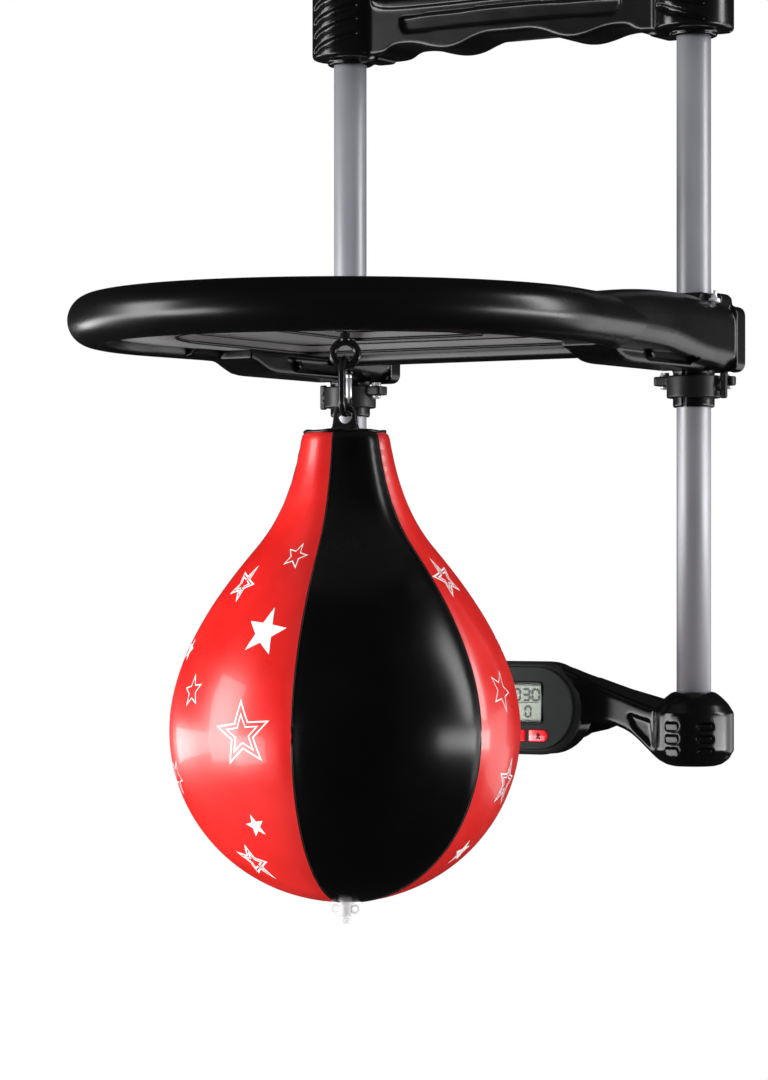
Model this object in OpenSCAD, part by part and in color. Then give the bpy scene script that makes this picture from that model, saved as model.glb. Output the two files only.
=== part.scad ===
// Over-the-door speed-bag set: a frame of two tubes and two crossbars that hangs on a door,
// a rebound board that slides on the tubes, and an inflatable bag on a snap hook.
// X runs along the crossbars, -Y points to the player, +Z is up. The origin is the middle of
// the flat back of the top crossbar, which lies against the door.

/* [Frame] */
// Distance between the centres of the two tubes
tube_span = 300; // [280:1:320]
// Outer radius of a tube
tube_r = 12.7; // [12:0.1:13.5]
// Wall of a tube
tube_wall = 1.2; // [0.8:0.1:2]
// Distance from the door to the centre of a tube
tube_stand_off = 32; // [31:0.5:36]
// Height of the tubes' top end
tube_top = 22; // [18:1:28]
// Height of the tubes' bottom end
tube_bottom = -548; // [-552:1:-540]
// Radius of the round housing at each end of a crossbar
house_r = 29.5; // [28:0.5:30]
// Thickness of the crossbars' back covers
cover_t = 3; // [2.5:0.5:4]

/* [Door hooks] */
// Clear gap between the crossbar's back and the hook's back leg
door_gap = 42; // [38:1:50]
// Width of a hook's steel strap
strap_w = 25; // [20:1:28]
// Thickness of the strap
strap_t = 3; // [2:0.5:3]
// Height of the underside of the strap's top bend
strap_top = 72; // [60:1:90]
// Distance of each hook from the middle
hook_x = 104; // [95:1:106]

/* [Rebound board] */
// Radius of the board's round front
board_r = 195; // [180:1:205]
// Height of the board's rim, which is fully rounded
rim_h = 36; // [32:1:40]
// Height of the rim's underside above the origin
board_bottom = -265; // [-270:1:-260]
// Distance from the door to the bag's hanging point
pivot_out = 274; // [260:1:285]
// Depth of each of the two steps in the underside
recess_step = 6; // [4:0.5:7]
// Half the width of the brackets that hold the board on the tubes
bracket_w = 28; // [26:1:29]

/* [Eye, hook and bag] */
// Radius of the eye ring's centre line
eye_r = 8.6; // [8:0.1:10]
// Radius of the eye's bar
eye_bar = 2.75; // [2.5:0.05:3]
// Angle that the eye ring is turned to
eye_turn = 32; // [0:1:45]
// Angle that the snap hook and the bag's tab are turned to
hook_turn = 17; // [0:1:45]
// Radius of the snap hook's wire
wire_r = 2.4; // [2.2:0.05:2.5]
// Height between the centres of the snap hook's top and bottom wire
hook_h = 38.9; // [36:0.1:42]
// Largest radius of the bag
bag_r = 123.8; // [118:0.1:128]
// Height of the bag's widest point
bag_mid = -539; // [-545:1:-530]
// Thickness of the bag's skin
skin_t = 1.2; // [0.8:0.1:2]

/* [Counter] */
// Height of the middle of the counter's pod
pod_z = -524; // [-528:1:-520]
// Half the height of the pod
pod_r = 35; // [34:0.5:38]
// Distance from the pod's middle to the centre of each round end
pod_half = 33; // [32:1:36]
// Distance from the door to the pod's front wall
pod_front = 58; // [54:1:60]
// Width of the display window
window_w = 75; // [70:1:76]
// Height of the display window
window_h = 30; // [26:1:30]
// How far a button travels when it is pressed
button_travel = 1.2; // [0.8:0.1:1.2]

/* [Hidden] */
$fn = 48;
tube_x = tube_span / 2;
tube_y = -tube_stand_off;
fit_gap = 0.05;
slide_gap = 0.3;
foot_w = 36;
foot_screw_x = tube_x + 12;
top_low = -24;
top_high = 34;
beam_front = -46;
strap_low = -14;
strap_bend = 5;
back_leg_low = 30;
pad_t = 2;
rim_r = rim_h / 2;
rim_z = board_bottom + rim_r;
board_top = board_bottom + rim_h;
pivot_y = -pivot_out;
arm_y = -88;
arm_r = 28;
block_front = -80;
block_top = -217;
block_bottom = -275;
panel_z = board_bottom + 7;
panel_t = 3;
floor_t = 2.5;
sleeve_r = 15.4;
sleeve_low = -301;
band_r = 20;
band_low = -294.5;
ear_top = -278;
ear_low = -285;
knob_z = -285.5;
inner_ear = [-24, 0];
outer_ear = [20, 15.5];
eye_z = -269.4;
wire_bend = 9.6;
hook_top_z = eye_z - eye_r + eye_bar + slide_gap + wire_r;
hook_low_z = hook_top_z - hook_h;
gate_pin_z = hook_low_z + wire_bend - 1;
nose = 0.8;
gate_low_z = hook_low_z + wire_bend + nose + slide_gap;
gate_top_z = hook_top_z - wire_bend - nose - slide_gap;
tab_hole_r = 5.2;
tab_hole_z = hook_low_z + wire_r + 0.8 - tab_hole_r;
tab_top_z = -304.8;
tab_t = 5;
tab_w = 19;
bag_top = 216;
bag_low = -116;
cap_r = 17;
valve_r = 6;
lower_back = -5;
pad_front = -2;
arm_front = -48;
bezel_t = 2.5;
button_z = pod_z - 20.5;
button_h = 9;
button_front = -pod_front - 3.5;
keypad_front = -54;
button_back = keypad_front - button_travel - 0.2;
button_gap = 0.35;
window_z = pod_z + 4;
screw_hole_r = 1.6;
gate_r = 2.1;
gate_foot = 1.5;
gate_pin_r = 0.7;
eye_shank_r = 3.5;
pod_step = 9;
pod_step_y = -32;
bay_w = 56;
bay_h = 36;

// Closes an outline given for X >= 0 by adding its mirror image
function mirrored(p) = concat(p, [for (i = [len(p) - 1:-1:0]) [-p[i][0], p[i][1]]]);

// Extrudes a shape drawn in X and Z from y_front back to y_back
module upright(y_front, y_back)
    translate([0, y_back, 0]) rotate([90, 0, 0]) linear_extrude(y_back - y_front) children();

// Extrudes a shape drawn in Y and Z across X, w wide and centred on x
module across(x, w)
    translate([x - w / 2, 0, 0]) rotate([90, 0, 90]) linear_extrude(w) children();

// A cylinder along Y from y_front to y_back
module pin_y(x, z, r, y_front, y_back)
    translate([x, y_back, z]) rotate([90, 0, 0]) cylinder(r = r, h = y_back - y_front);

module both_sides() for (side = [-1, 1]) translate([side * tube_x, tube_y, 0]) children();

// ---------- frame ----------

module tube(side) color("lightslategray")
    translate([side * tube_x, tube_y, tube_bottom]) difference() {
        cylinder(r = tube_r, h = tube_top - tube_bottom);
        translate([0, 0, -1])
            cylinder(r = tube_r - tube_wall, h = tube_top - tube_bottom + 2);
    }

// Round block around a tube with a narrower foot at the back
module housing(low, high, back) both_sides() {
    intersection() {
        translate([0, 0, low]) cylinder(r = house_r, h = high - low);
        translate([-house_r, -house_r, low])
            cube([2 * house_r, house_r + back - tube_y, high - low]);
    }
    translate([-foot_w / 2, 0, low]) cube([foot_w, back - tube_y, high - low]);
}

module top_beam_outline() polygon(mirrored([[0, -16], [24, -16], [44, -24], [62, -24],
    [84, -19], [102, -20], [112, -27], [134, -27], [134, 24], [110, 18], [0, 18]]));

// Shallow slanted slots around the front of a round housing
module slant_slots(count, first_z, pitch, slant)
    for (side = [-1, 1]) translate([side * tube_x, tube_y, 0]) intersection() {
        difference() {
            translate([0, 0, first_z - 20]) cylinder(r = house_r + 1, h = count * pitch + 40);
            translate([0, 0, first_z - 21]) cylinder(r = house_r - 2, h = count * pitch + 42);
        }
        for (i = [0:count - 1]) translate([0, -house_r / 2, first_z + i * pitch])
            rotate([0, side * slant, 0]) cube([36, house_r, 4.5], center = true);
    }

top_screw_x = [-foot_screw_x, -60, 60, foot_screw_x];
hook_screw_z = [-8, 8];

module top_crossbar() color("black") difference() {
    union() {
        housing(top_low, top_high, -cover_t);
        both_sides() translate([0, 0, -29]) cylinder(r = 17, h = 6);
        upright(beam_front, -cover_t) top_beam_outline();
    }
    both_sides() translate([0, 0, -40]) cylinder(r = tube_r + fit_gap, h = 40 + tube_top);
    for (x = [-35, 35]) translate([x - 22, beam_front + 4, -12]) cube([44, 40, 26]);
    upright(beam_front - 1, beam_front + 3) polygon([[-92, -4], [92, -4], [92, 8], [-92, 8]]);
    slant_slots(4, -12, 11, 17);
    for (x = top_screw_x) pin_y(x, 0, screw_hole_r, -14, 0);
    for (side = [-1, 1], z = hook_screw_z) pin_y(side * hook_x, z, 2 + fit_gap, -16, 0);
}

module top_back_cover() color("dimgray") difference() {
    upright(-cover_t, 0) polygon(mirrored([[0, -15], [124, -15], [133, -22],
        [tube_x + 17, -22], [tube_x + 17, 32], [133, 32], [124, 17], [0, 17]]));
    for (side = [-1, 1]) translate([side * hook_x - strap_w / 2 - fit_gap, -4, strap_low])
        cube([strap_w + 2 * fit_gap, 5, 60]);
    for (x = top_screw_x) {
        pin_y(x, 0, screw_hole_r, -4, 1);
        pin_y(x, 0, 3.6, -2.2, 1);
    }
}

module flat_screw(x, z, y_back, head_r, shank_r, length) {
    pin_y(x, z, head_r, y_back - 2, y_back);
    pin_y(x, z, shank_r, y_back - length, y_back - 1);
}

module top_cover_screws() color("silver")
    for (x = top_screw_x) flat_screw(x, 0, -0.2, 3.5, 1.5, 13);

// ---------- door hooks ----------

module strap_bend_outline(centre_y, facing) translate([centre_y, strap_top - strap_bend])
    intersection() {
        difference() {
            circle(r = strap_bend + strap_t);
            circle(r = strap_bend);
        }
        translate([facing > 0 ? 0 : -20, 0]) square(20);
    }

module strap_outline() {
    bend_z = strap_top - strap_bend;
    translate([-strap_t, strap_low]) square([strap_t, bend_z - strap_low]);
    translate([strap_bend, strap_top]) square([door_gap - 2 * strap_bend, strap_t]);
    translate([door_gap, back_leg_low]) square([strap_t, bend_z - back_leg_low]);
    strap_bend_outline(strap_bend, -1);
    strap_bend_outline(door_gap - strap_bend, 1);
}

module door_hook(side) color("gray") difference() {
    across(side * hook_x, strap_w) strap_outline();
    for (z = hook_screw_z) {
        pin_y(side * hook_x, z, 2 + fit_gap, -4, 1);
        pin_y(side * hook_x, z, 4 + fit_gap, -2.2, 1);
    }
}

module door_hook_screws() color("silver") for (side = [-1, 1], z = hook_screw_z)
    flat_screw(side * hook_x, z, -0.2, 4, 2, 14);

module door_hook_pads() color("dimgray") for (side = [-1, 1]) {
    translate([side * hook_x - strap_w / 2 + 1, strap_bend + 1, strap_top - pad_t])
        cube([strap_w - 2, door_gap - 2 * strap_bend - 2, pad_t]);
    translate([side * hook_x - strap_w / 2 + 1, door_gap - pad_t, back_leg_low + 2])
        cube([strap_w - 2, pad_t, strap_top - strap_bend - back_leg_low - 4]);
}

// ---------- lower crossbar and counter ----------

module pod_outline(r) {
    for (side = [-1, 1]) translate([side * pod_half, pod_z]) circle(r = r);
    translate([-pod_half, pod_z - r]) square([2 * pod_half, 2 * r]);
}

module lower_arm_outline() for (side = [-1, 1]) polygon([for (p = [[30, -500], [56, -502],
    [82, -510], [134, -523], [134, -563], [106, -544], [92, -536], [78, -535], [62, -541],
    [30, -548]]) [side * p[0], p[1]]]);

lower_screws = [[-foot_screw_x, -545], [-84, -522], [84, -522], [foot_screw_x, -545]];
board_posts = [[-44, -508], [44, -508], [-44, -534], [44, -534]];

module lower_crossbar() color("black") difference() {
    union() {
        difference() {
            union() {
                housing(-565, -524, lower_back);
                both_sides() translate([0, 0, -524])
                    cylinder(r1 = 26.9, r2 = 17, h = 13);
                upright(arm_front, lower_back) lower_arm_outline();
                upright(-pod_front, pod_step_y) pod_outline(pod_r);
                upright(-pod_front + 1, lower_back) pod_outline(pod_r - pod_step);
            }
            upright(-pod_front + 3, pod_step_y - 3) pod_outline(pod_r - 3);
            upright(pod_step_y - 4, lower_back + 1) pod_outline(pod_r - pod_step - 3);
        }
        for (p = board_posts) pin_y(p[0], p[1], 2.5, -56, -52);
    }
    both_sides() translate([0, 0, tube_bottom])
        cylinder(r = tube_r + fit_gap, h = 60);
    translate([-window_w / 2 + 2, -60, window_z - window_h / 2 + 2])
        cube([window_w - 4, 8, window_h - 4]);
    button_openings(button_gap);
    for (side = [-1, 1], i = [0:2], a = [-7, 46]) translate([side * tube_x, tube_y, 0])
        rotate([0, 0, side * a]) translate([-4, -house_r - 1, -554 + i * 9])
            cube([8, 2.6, 4]);
    for (p = lower_screws) pin_y(p[0], p[1], screw_hole_r, -18, 0);
}

module lower_back_cover() color("dimgray") difference() {
    union() {
        upright(lower_back, pad_front) {
            pod_outline(pod_r - pod_step - 1);
            lower_arm_outline();
            for (side = [-1, 1]) translate([side * tube_x - 17, -564]) square([34, 39]);
        }
        upright(-19, lower_back) translate([-bay_w / 2 - 2, pod_z - bay_h / 2 - 2])
            square([bay_w + 4, bay_h + 4]);
    }
    upright(-17, 1) translate([-bay_w / 2, pod_z - bay_h / 2]) square([bay_w, bay_h]);
    for (p = lower_screws) {
        pin_y(p[0], p[1], screw_hole_r, -6, 0);
        pin_y(p[0], p[1], 3.6, -4.2, 0);
    }
    translate([-4, -12, pod_z + bay_h / 2 - 1]) cube([8, 8, 4]);
}

module lower_cover_screws() color("silver")
    for (p = lower_screws) flat_screw(p[0], p[1], -2.2, 3.5, 1.5, 13);

module lower_door_pads() color("dimgray") for (side = [-1, 1])
    upright(pad_front, 0) translate([side * (tube_x - 6) - 10, -560]) square([20, 31]);

module counter_bezel() color([0.16, 0.17, 0.17]) difference() {
    upright(-pod_front - bezel_t, -pod_front) pod_outline(pod_r - 4);
    translate([-window_w / 2 - 0.2, -70, window_z - window_h / 2 - 0.2])
        cube([window_w + 0.4, 20, window_h + 0.4]);
    button_openings(button_gap);
}

module display_window() color([0.75, 0.85, 0.8, 0.4])
    translate([-window_w / 2, -pod_front - 2, window_z - window_h / 2])
        cube([window_w, 2, window_h]);

module display_module() color([0.62, 0.68, 0.6])
    translate([-window_w / 2 + 2.2, -pod_front + 0.1, window_z - window_h / 2 + 2.2])
        cube([window_w - 4.4, 4, window_h - 4.4]);

module circuit_board() color("darkgreen") difference() {
    translate([-50, -52, pod_z - 22]) cube([100, 1.6, 44]);
    for (p = board_posts) pin_y(p[0], p[1], 1.2, -53, -50);
}

module beeper() color("black") difference() {
    pin_y(36, pod_z + 10, 6, -50.4, -45);
    pin_y(36, pod_z + 10, 1.2, -46.5, -44);
}

module impact_sensor() color("goldenrod") {
    pin_y(-36, pod_z + 10, 7, -50.4, -49.8);
    pin_y(-36, pod_z + 10, 4.5, -49.9, -49.4);
}

module keypad() color("gray")
    translate([-46, keypad_front, button_z - 5.5]) cube([92, 2, 11]);

// Battery cells lie side by side in the bay, one above the other
module batteries() color("orange") for (row = [-1, 1])
    translate([-22 * row, -10.4, pod_z + row * 8]) rotate([0, 90 * row, 0]) {
        cylinder(r = 5.2, h = 43.5);
        translate([0, 0, 43]) cylinder(r = 1.9, h = 1.5);
    }

module battery_contacts() color("silver") for (side = [-1, 1], row = [-1, 1])
    translate([side * 25.5 - 0.3, -15, pod_z + row * 8 - 4]) cube([0.6, 9, 8]);

module battery_door() color("dimgray") difference() {
    translate([-bay_w / 2 + 0.4, -4.6, pod_z - bay_h / 2 + 0.4])
        cube([bay_w - 0.8, 2.5, bay_h - 0.8]);
    pin_y(0, pod_z, screw_hole_r, -6, 0);
    pin_y(0, pod_z, 3, -3.4, 0);
    for (i = [-1:1]) translate([14 + i * 3, -3, pod_z - 8]) cube([1.2, 2, 16]);
}

module battery_door_screw() color("silver") {
    pin_y(0, pod_z, 2.9, -3.35, -2.3);
    pin_y(0, pod_z, 1.5, -4.9, -3);
}

// ---------- buttons ----------

// Inner edge, outer edge of the inner and outer buttons
button_spans = [[1.5, 23.7], [26.5, 42.8]];

// Outline of a button; an outer one is round at its outer end
module button_outline(side, span, grow) {
    round_end = span == button_spans[1] ? button_h / 2 : 0;
    inner = span[0] - grow;
    outer = span[1] - round_end + (round_end > 0 ? 0 : grow);
    translate([side > 0 ? inner : -outer, button_z - button_h / 2 - grow])
        square([outer - inner, button_h + 2 * grow]);
    if (round_end > 0)
        translate([side * (span[1] - round_end), button_z]) circle(r = button_h / 2 + grow);
}

module button_openings(grow) for (side = [-1, 1], span = button_spans)
    upright(-pod_front - 10, -pod_front + 4) button_outline(side, span, grow);

module button(side, span) color("crimson")
    upright(button_front, button_back) button_outline(side, span, 0);

// ---------- rebound board ----------

// A round front with straight sides that run back to two corners
module dee(r, side, rear) translate([0, pivot_y]) {
    circle(r = r);
    polygon([[-r, 0], [r, 0], [side, rear], [-side, rear]]);
}

module rounded_disc(r) rotate_extrude($fn = 72) {
    translate([0, -rim_r]) square([r - rim_r, 2 * rim_r]);
    intersection() {
        translate([r - rim_r, 0]) circle(r = rim_r, $fn = 24);
        translate([0, -rim_r]) square([r, 2 * rim_r]);
    }
}

module bracket_box(side) translate([side * tube_x - bracket_w, block_front, -300])
    cube([2 * bracket_w, 100, 200]);

module board_shell() color("black") difference() {
    union() {
        difference() {
            hull() {
                translate([0, pivot_y, rim_z]) rounded_disc(board_r);
                for (side = [-1, 1]) translate([side * tube_x, arm_y, rim_z])
                    rounded_disc(arm_r);
            }
            translate([0, 0, board_bottom - 1]) linear_extrude(12) dee(160, 150, 186);
            translate([0, 0, panel_z + panel_t]) linear_extrude(20.5) dee(180, 160, 190);
        }
        translate([0, pivot_y, panel_z + 14.5]) cylinder(r = 14, h = 12);
    }
    for (side = [-1, 1]) bracket_box(side);
    translate([0, pivot_y, -300]) cylinder(r = eye_shank_r + fit_gap, h = 100);
}

module board_underside() color([0.1, 0.1, 0.1]) difference() {
    union() {
        translate([0, 0, panel_z]) linear_extrude(panel_t) dee(159.9, 149.9, 185.9);
        translate([0, 0, panel_z]) linear_extrude(recess_step + floor_t) dee(120.5, 126.5, 140.5);
        translate([0, 0, panel_z + recess_step]) linear_extrude(recess_step + floor_t)
            dee(50.5, 58.5, 102.5);
    }
    translate([0, 0, panel_z - 1]) linear_extrude(recess_step + 1) dee(118, 124, 138);
    translate([0, 0, panel_z - 1]) linear_extrude(2 * recess_step + 1) dee(48, 56, 100);
    translate([0, pivot_y, -300]) cylinder(r = eye_shank_r + fit_gap, h = 100);
}

// Side view of a bracket: arm under the board, block around the tube
module bracket_outline() polygon([[-1, block_bottom], [-1, -226], [-12, block_top],
    [-48, block_top], [block_front, board_top], [block_front, board_bottom],
    [-200, board_bottom], [-162, block_bottom]]);

module bracket(side) color("black") difference() {
    union() {
        across(side * tube_x, 2 * bracket_w) bracket_outline();
        translate([side * tube_x, tube_y, sleeve_low])
            cylinder(r = sleeve_r, h = block_bottom - sleeve_low + 1);
    }
    translate([side * tube_x, tube_y, -310]) cylinder(r = tube_r + slide_gap, h = 110);
    translate([side * tube_x - 1, tube_y - 20, sleeve_low - 1]) cube([2, 20, 27]);
    translate([side * (tube_x + 20) - 8, tube_y - 14, -222]) cube([16, 16, 10]);
    for (e = [inner_ear, outer_ear])
        translate([side * (tube_x + e[0]), tube_y + e[1], -276])
            cylinder(r = 2 + fit_gap, h = 14);
    translate([side * (tube_x + 20), tube_y - 6, -240]) cylinder(r = 1.8 + fit_gap, h = 30);
    for (x = [-1, 1]) translate([side * tube_x + x * bracket_w, 0, 0]) pocket(x);
}

// Long shallow pocket in the side of a bracket's arm
module pocket(x) across(0, 5) {
    for (y = [-148, -92]) translate([y, -269.6]) circle(r = 3.2);
    translate([-148, -272.8]) square([56, 6.4]);
}

module clamp_band(side) color("black") translate([side * tube_x, tube_y, 0]) difference() {
    union() {
        translate([0, 0, band_low]) cylinder(r = band_r, h = ear_top - band_low);
        translate([side > 0 ? -31 : 14, -6.5, ear_low]) cube([17, 13, ear_top - ear_low]);
        translate([side > 0 ? 10 : -26, 11.5, ear_low]) cube([16, 8, ear_top - ear_low]);
    }
    translate([0, 0, -310]) cylinder(r = sleeve_r + fit_gap, h = 60);
    for (e = [inner_ear, outer_ear]) translate([side * e[0], e[1], -300])
        cylinder(r = 2 + fit_gap, h = 30);
    translate([0, 0, knob_z]) rotate([0, side * 90, 0]) cylinder(r = 2.05, h = 30);
}

module clamp_screws() color("silver") for (side = [-1, 1], e = [inner_ear, outer_ear])
    translate([side * (tube_x + e[0]), tube_y + e[1], 0]) {
        translate([0, 0, -288]) cylinder(r = 2, h = 25);
        translate([0, 0, ear_top]) cylinder(r = 3.8, h = block_bottom - ear_top);
        translate([0, 0, ear_low - 3]) cylinder(r = 3.6, h = 3);
    }

module bracket_screws() color("silver") for (side = [-1, 1])
    translate([side * (tube_x + 20), tube_y - 6, 0]) {
        translate([0, 0, -238]) cylinder(r = 1.8, h = 22);
        translate([0, 0, -222]) cylinder(r = 4.5, h = 1.6);
    }

// Thumb screw: shaft along X and a flat wing
module clamp_knob(side) color("black")
    translate([side * tube_x, tube_y, knob_z]) rotate([0, side * 90, 0]) {
        translate([0, 0, 15.9]) cylinder(r = 2, h = 8);
        translate([0, 0, band_r + slide_gap]) cylinder(r = 4.6, h = 2.5);
        translate([0, 2.1, band_r + 2]) rotate([90, 0, 0]) linear_extrude(4.2) {
            translate([-7, 0]) square([14, 5.2]);
            for (x = [-7, 7]) translate([x, 2.6]) circle(r = 2.6);
        }
    }

// ---------- eye, snap hook ----------

module at_pivot(turn) translate([0, pivot_y, 0]) rotate([0, 0, turn]) children();

module eye_base() color("black") at_pivot(eye_turn) {
    floor_z = panel_z + 2 * recess_step;
    difference() {
        union() {
            translate([0, 0, floor_z - 4]) cylinder(r = 13, h = 4);
            translate([0, 0, floor_z - 8]) cylinder(r = 8.5, h = 4.5, $fn = 6);
        }
        translate([0, 0, -300]) cylinder(r = eye_shank_r + fit_gap, h = 100);
    }
}

module eye_nut() color("silver") at_pivot(eye_turn) difference() {
    union() {
        translate([0, 0, board_top]) cylinder(r = 9, h = 1.5);
        translate([0, 0, board_top + 1.4]) cylinder(r = 7, h = 5, $fn = 6);
    }
    translate([0, 0, -300]) cylinder(r = eye_shank_r + fit_gap, h = 100);
}

module eye_bolt() color("black") at_pivot(eye_turn) {
    translate([0, 0, eye_z]) rotate([90, 0, 0])
        rotate_extrude() translate([eye_r, 0]) circle(r = eye_bar);
    translate([0, 0, eye_z + eye_r]) cylinder(r = eye_shank_r, h = board_top + 8.5 - eye_z - eye_r);
}

// Half ring of the snap hook's wire, opening down (1) or up (-1)
module wire_half(z, up) translate([0, 0, z]) rotate([90, 0, 90]) rotate([0, 0, up > 0 ? 0 : 180])
    rotate_extrude(angle = 180) translate([wire_bend, 0]) circle(r = wire_r);

module snap_hook() color("black") at_pivot(hook_turn) difference() {
    union() {
        wire_half(hook_top_z - wire_bend, 1);
        wire_half(hook_low_z + wire_bend, -1);
        translate([0, -wire_bend, hook_low_z + wire_bend])
            cylinder(r = wire_r, h = hook_h - 2 * wire_bend);
        for (z = [hook_low_z + wire_bend, hook_top_z - wire_bend - nose])
            translate([0, wire_bend, z]) cylinder(r = wire_r, h = nose);
    }
    translate([-1.25, wire_bend - 5, gate_pin_z - 1.9]) cube([2.5, 10, 8]);
    translate([-5, wire_bend, gate_pin_z]) rotate([0, 90, 0]) cylinder(r = gate_pin_r, h = 10);
}

module snap_gate_pin() color("silver") at_pivot(hook_turn)
    translate([-2.3, wire_bend, gate_pin_z]) rotate([0, 90, 0]) cylinder(r = gate_pin_r, h = 4.6);

module snap_gate() color("silver") at_pivot(hook_turn) difference() {
    union() {
        translate([0, wire_bend, gate_low_z]) cylinder(r1 = gate_r - 1, r2 = gate_r, h = gate_foot);
        translate([0, wire_bend, gate_low_z + gate_foot])
            cylinder(r = gate_r, h = gate_top_z - gate_low_z - gate_foot);
        translate([-0.9, wire_bend - 1.5, gate_pin_z]) cube([1.8, 3, 3]);
        translate([-0.9, wire_bend, gate_pin_z]) rotate([0, 90, 0]) cylinder(r = 1.5, h = 1.8);
    }
    translate([-5, wire_bend, gate_pin_z]) rotate([0, 90, 0])
        cylinder(r = gate_pin_r + fit_gap, h = 10);
}

// ---------- bag ----------

function bezier(p, t) = pow(1 - t, 3) * p[0] + 3 * t * pow(1 - t, 2) * p[1]
    + 3 * t * t * (1 - t) * p[2] + pow(t, 3) * p[3];
neck_curve = [[29.6, 211], [34.5, 188], [40, 160], [60.5, 135]];
shoulder_curve = [[60.5, 135], [80, 112], [bag_r + 0.4, 60], [bag_r, 5]];
low_to = acos(valve_r / bag_r);
bag_profile = concat(
    [[cap_r + 0.1, bag_top], [25, bag_top - 0.5]],
    [for (i = [0:7]) bezier(neck_curve, i / 7)],
    [for (i = [1:7]) bezier(shoulder_curve, i / 7)],
    [for (i = [1:10]) [bag_r * cos(low_to * i / 10), 5 - (5 - bag_low) * sin(low_to * i / 10)]]);

// Unit normal of the bag's profile at point i, pointing outwards
function bag_normal(i) = let (p = bag_profile, last = len(p) - 1,
    d = p[min(i + 1, last)] - p[max(i - 1, 0)]) [-d[1], d[0]] / norm(d);

module bag_skin() color("red") at_pivot(hook_turn) translate([0, 0, bag_mid]) rotate_extrude()
    polygon(concat(bag_profile, [for (i = [len(bag_profile) - 1:-1:0])
        bag_profile[i] - skin_t * bag_normal(i)]));

module bag_tab() color("black") at_pivot(hook_turn) difference() {
    union() {
        translate([0, 0, bag_mid + bag_top - 2.5]) cylinder(r = cap_r, h = 3.5);
        translate([0, tab_t / 2, 0]) rotate([90, 0, 0]) linear_extrude(tab_t) {
            translate([0, tab_top_z - 8]) circle(r = 8);
            polygon([[-8, tab_top_z - 8], [8, tab_top_z - 8], [tab_w / 2, bag_mid + bag_top],
                [-tab_w / 2, bag_mid + bag_top]]);
        }
    }
    translate([0, 10, tab_hole_z]) rotate([90, 0, 0]) cylinder(r = tab_hole_r, h = 20);
}

module valve_body() color("whitesmoke") at_pivot(hook_turn)
    translate([0, 0, bag_mid + bag_low]) {
        difference() {
            union() {
                translate([0, 0, -2]) cylinder(r = valve_r - 0.1, h = 4);
                translate([0, 0, -9]) cylinder(r = 4.4, h = 9);
            }
            translate([0, 0, -10]) cylinder(r = 2.8, h = 20);
        }
        for (side = [-1, 1]) translate([side * 7, 0, -5]) rotate([90, 0, 0])
            rotate_extrude() translate([2.6, 0]) circle(r = 0.8);
    }

module valve_stopper() color("whitesmoke") at_pivot(hook_turn)
    translate([0, 0, bag_mid + bag_low]) {
        translate([0, 0, -9.3]) cylinder(r = 2.7, h = 8);
        for (i = [0:2]) translate([0, 0, -10.6 - i * 1.6]) cylinder(r1 = 4.2, r2 = 5.2, h = 1.3);
        translate([0, 0, -15]) cylinder(r = 3.4, h = 6);
    }

top_crossbar();
top_back_cover();
top_cover_screws();
tube(-1);  // left_tube
tube(1);  // right_tube
door_hook(-1);  // left_door_hook
door_hook(1);  // right_door_hook
door_hook_screws();
door_hook_pads();
lower_crossbar();
lower_back_cover();
lower_cover_screws();
lower_door_pads();
counter_bezel();
display_window();
display_module();
circuit_board();
beeper();
impact_sensor();
keypad();
batteries();
battery_contacts();
battery_door();
battery_door_screw();
button(-1, button_spans[1]);  // outer_left_button
button(-1, button_spans[0]);  // inner_left_button
button(1, button_spans[0]);  // inner_right_button
button(1, button_spans[1]);  // outer_right_button
board_shell();
board_underside();
bracket(-1);  // left_bracket
bracket(1);  // right_bracket
clamp_band(-1);  // left_clamp_band
clamp_band(1);  // right_clamp_band
clamp_screws();
bracket_screws();
clamp_knob(-1);  // left_clamp_knob
clamp_knob(1);  // right_clamp_knob
eye_base();
eye_nut();
eye_bolt();
snap_hook();
snap_gate_pin();
snap_gate();
bag_skin();
bag_tab();
valve_body();
valve_stopper();
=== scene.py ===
# %% [markdown]
# # A door-hung speed-bag set, one piece at a time
#
# The set has three groups of parts. A frame of two tubes and two moulded crossbars hangs on a
# door. A rebound board slides on the tubes. A blown-up bag hangs under the board on a snap hook.
# The CAD frame already holds the sizes and the joints, so this lesson only makes the looks:
# each piece is built where the CAD says it is, and then told which body it moves with.

# %% Load the frame
import math

import bmesh
import bpy
from mathutils import Matrix, Vector


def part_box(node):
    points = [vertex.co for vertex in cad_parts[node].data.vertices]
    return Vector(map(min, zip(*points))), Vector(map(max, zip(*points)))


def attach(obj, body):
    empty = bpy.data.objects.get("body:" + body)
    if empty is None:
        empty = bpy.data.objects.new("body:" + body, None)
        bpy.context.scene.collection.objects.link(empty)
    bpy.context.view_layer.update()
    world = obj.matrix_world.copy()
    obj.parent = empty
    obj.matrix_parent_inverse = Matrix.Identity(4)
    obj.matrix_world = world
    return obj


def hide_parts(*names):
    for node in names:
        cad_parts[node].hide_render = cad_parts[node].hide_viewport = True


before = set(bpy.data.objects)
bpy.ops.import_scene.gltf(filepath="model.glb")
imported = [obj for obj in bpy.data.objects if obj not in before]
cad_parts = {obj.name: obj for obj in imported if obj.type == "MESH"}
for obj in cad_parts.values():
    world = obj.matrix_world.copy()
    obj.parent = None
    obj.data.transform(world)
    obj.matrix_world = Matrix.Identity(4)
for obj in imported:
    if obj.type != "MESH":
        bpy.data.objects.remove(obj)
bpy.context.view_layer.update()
MM = 0.001

# %% [markdown]
# ## Sizes from the frame
#
# Every size below is read from a CAD node's box, in millimetres, so that the pieces still fit
# if the CAD changes. Only the shapes of curves that a box can't hold are written as numbers.

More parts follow.
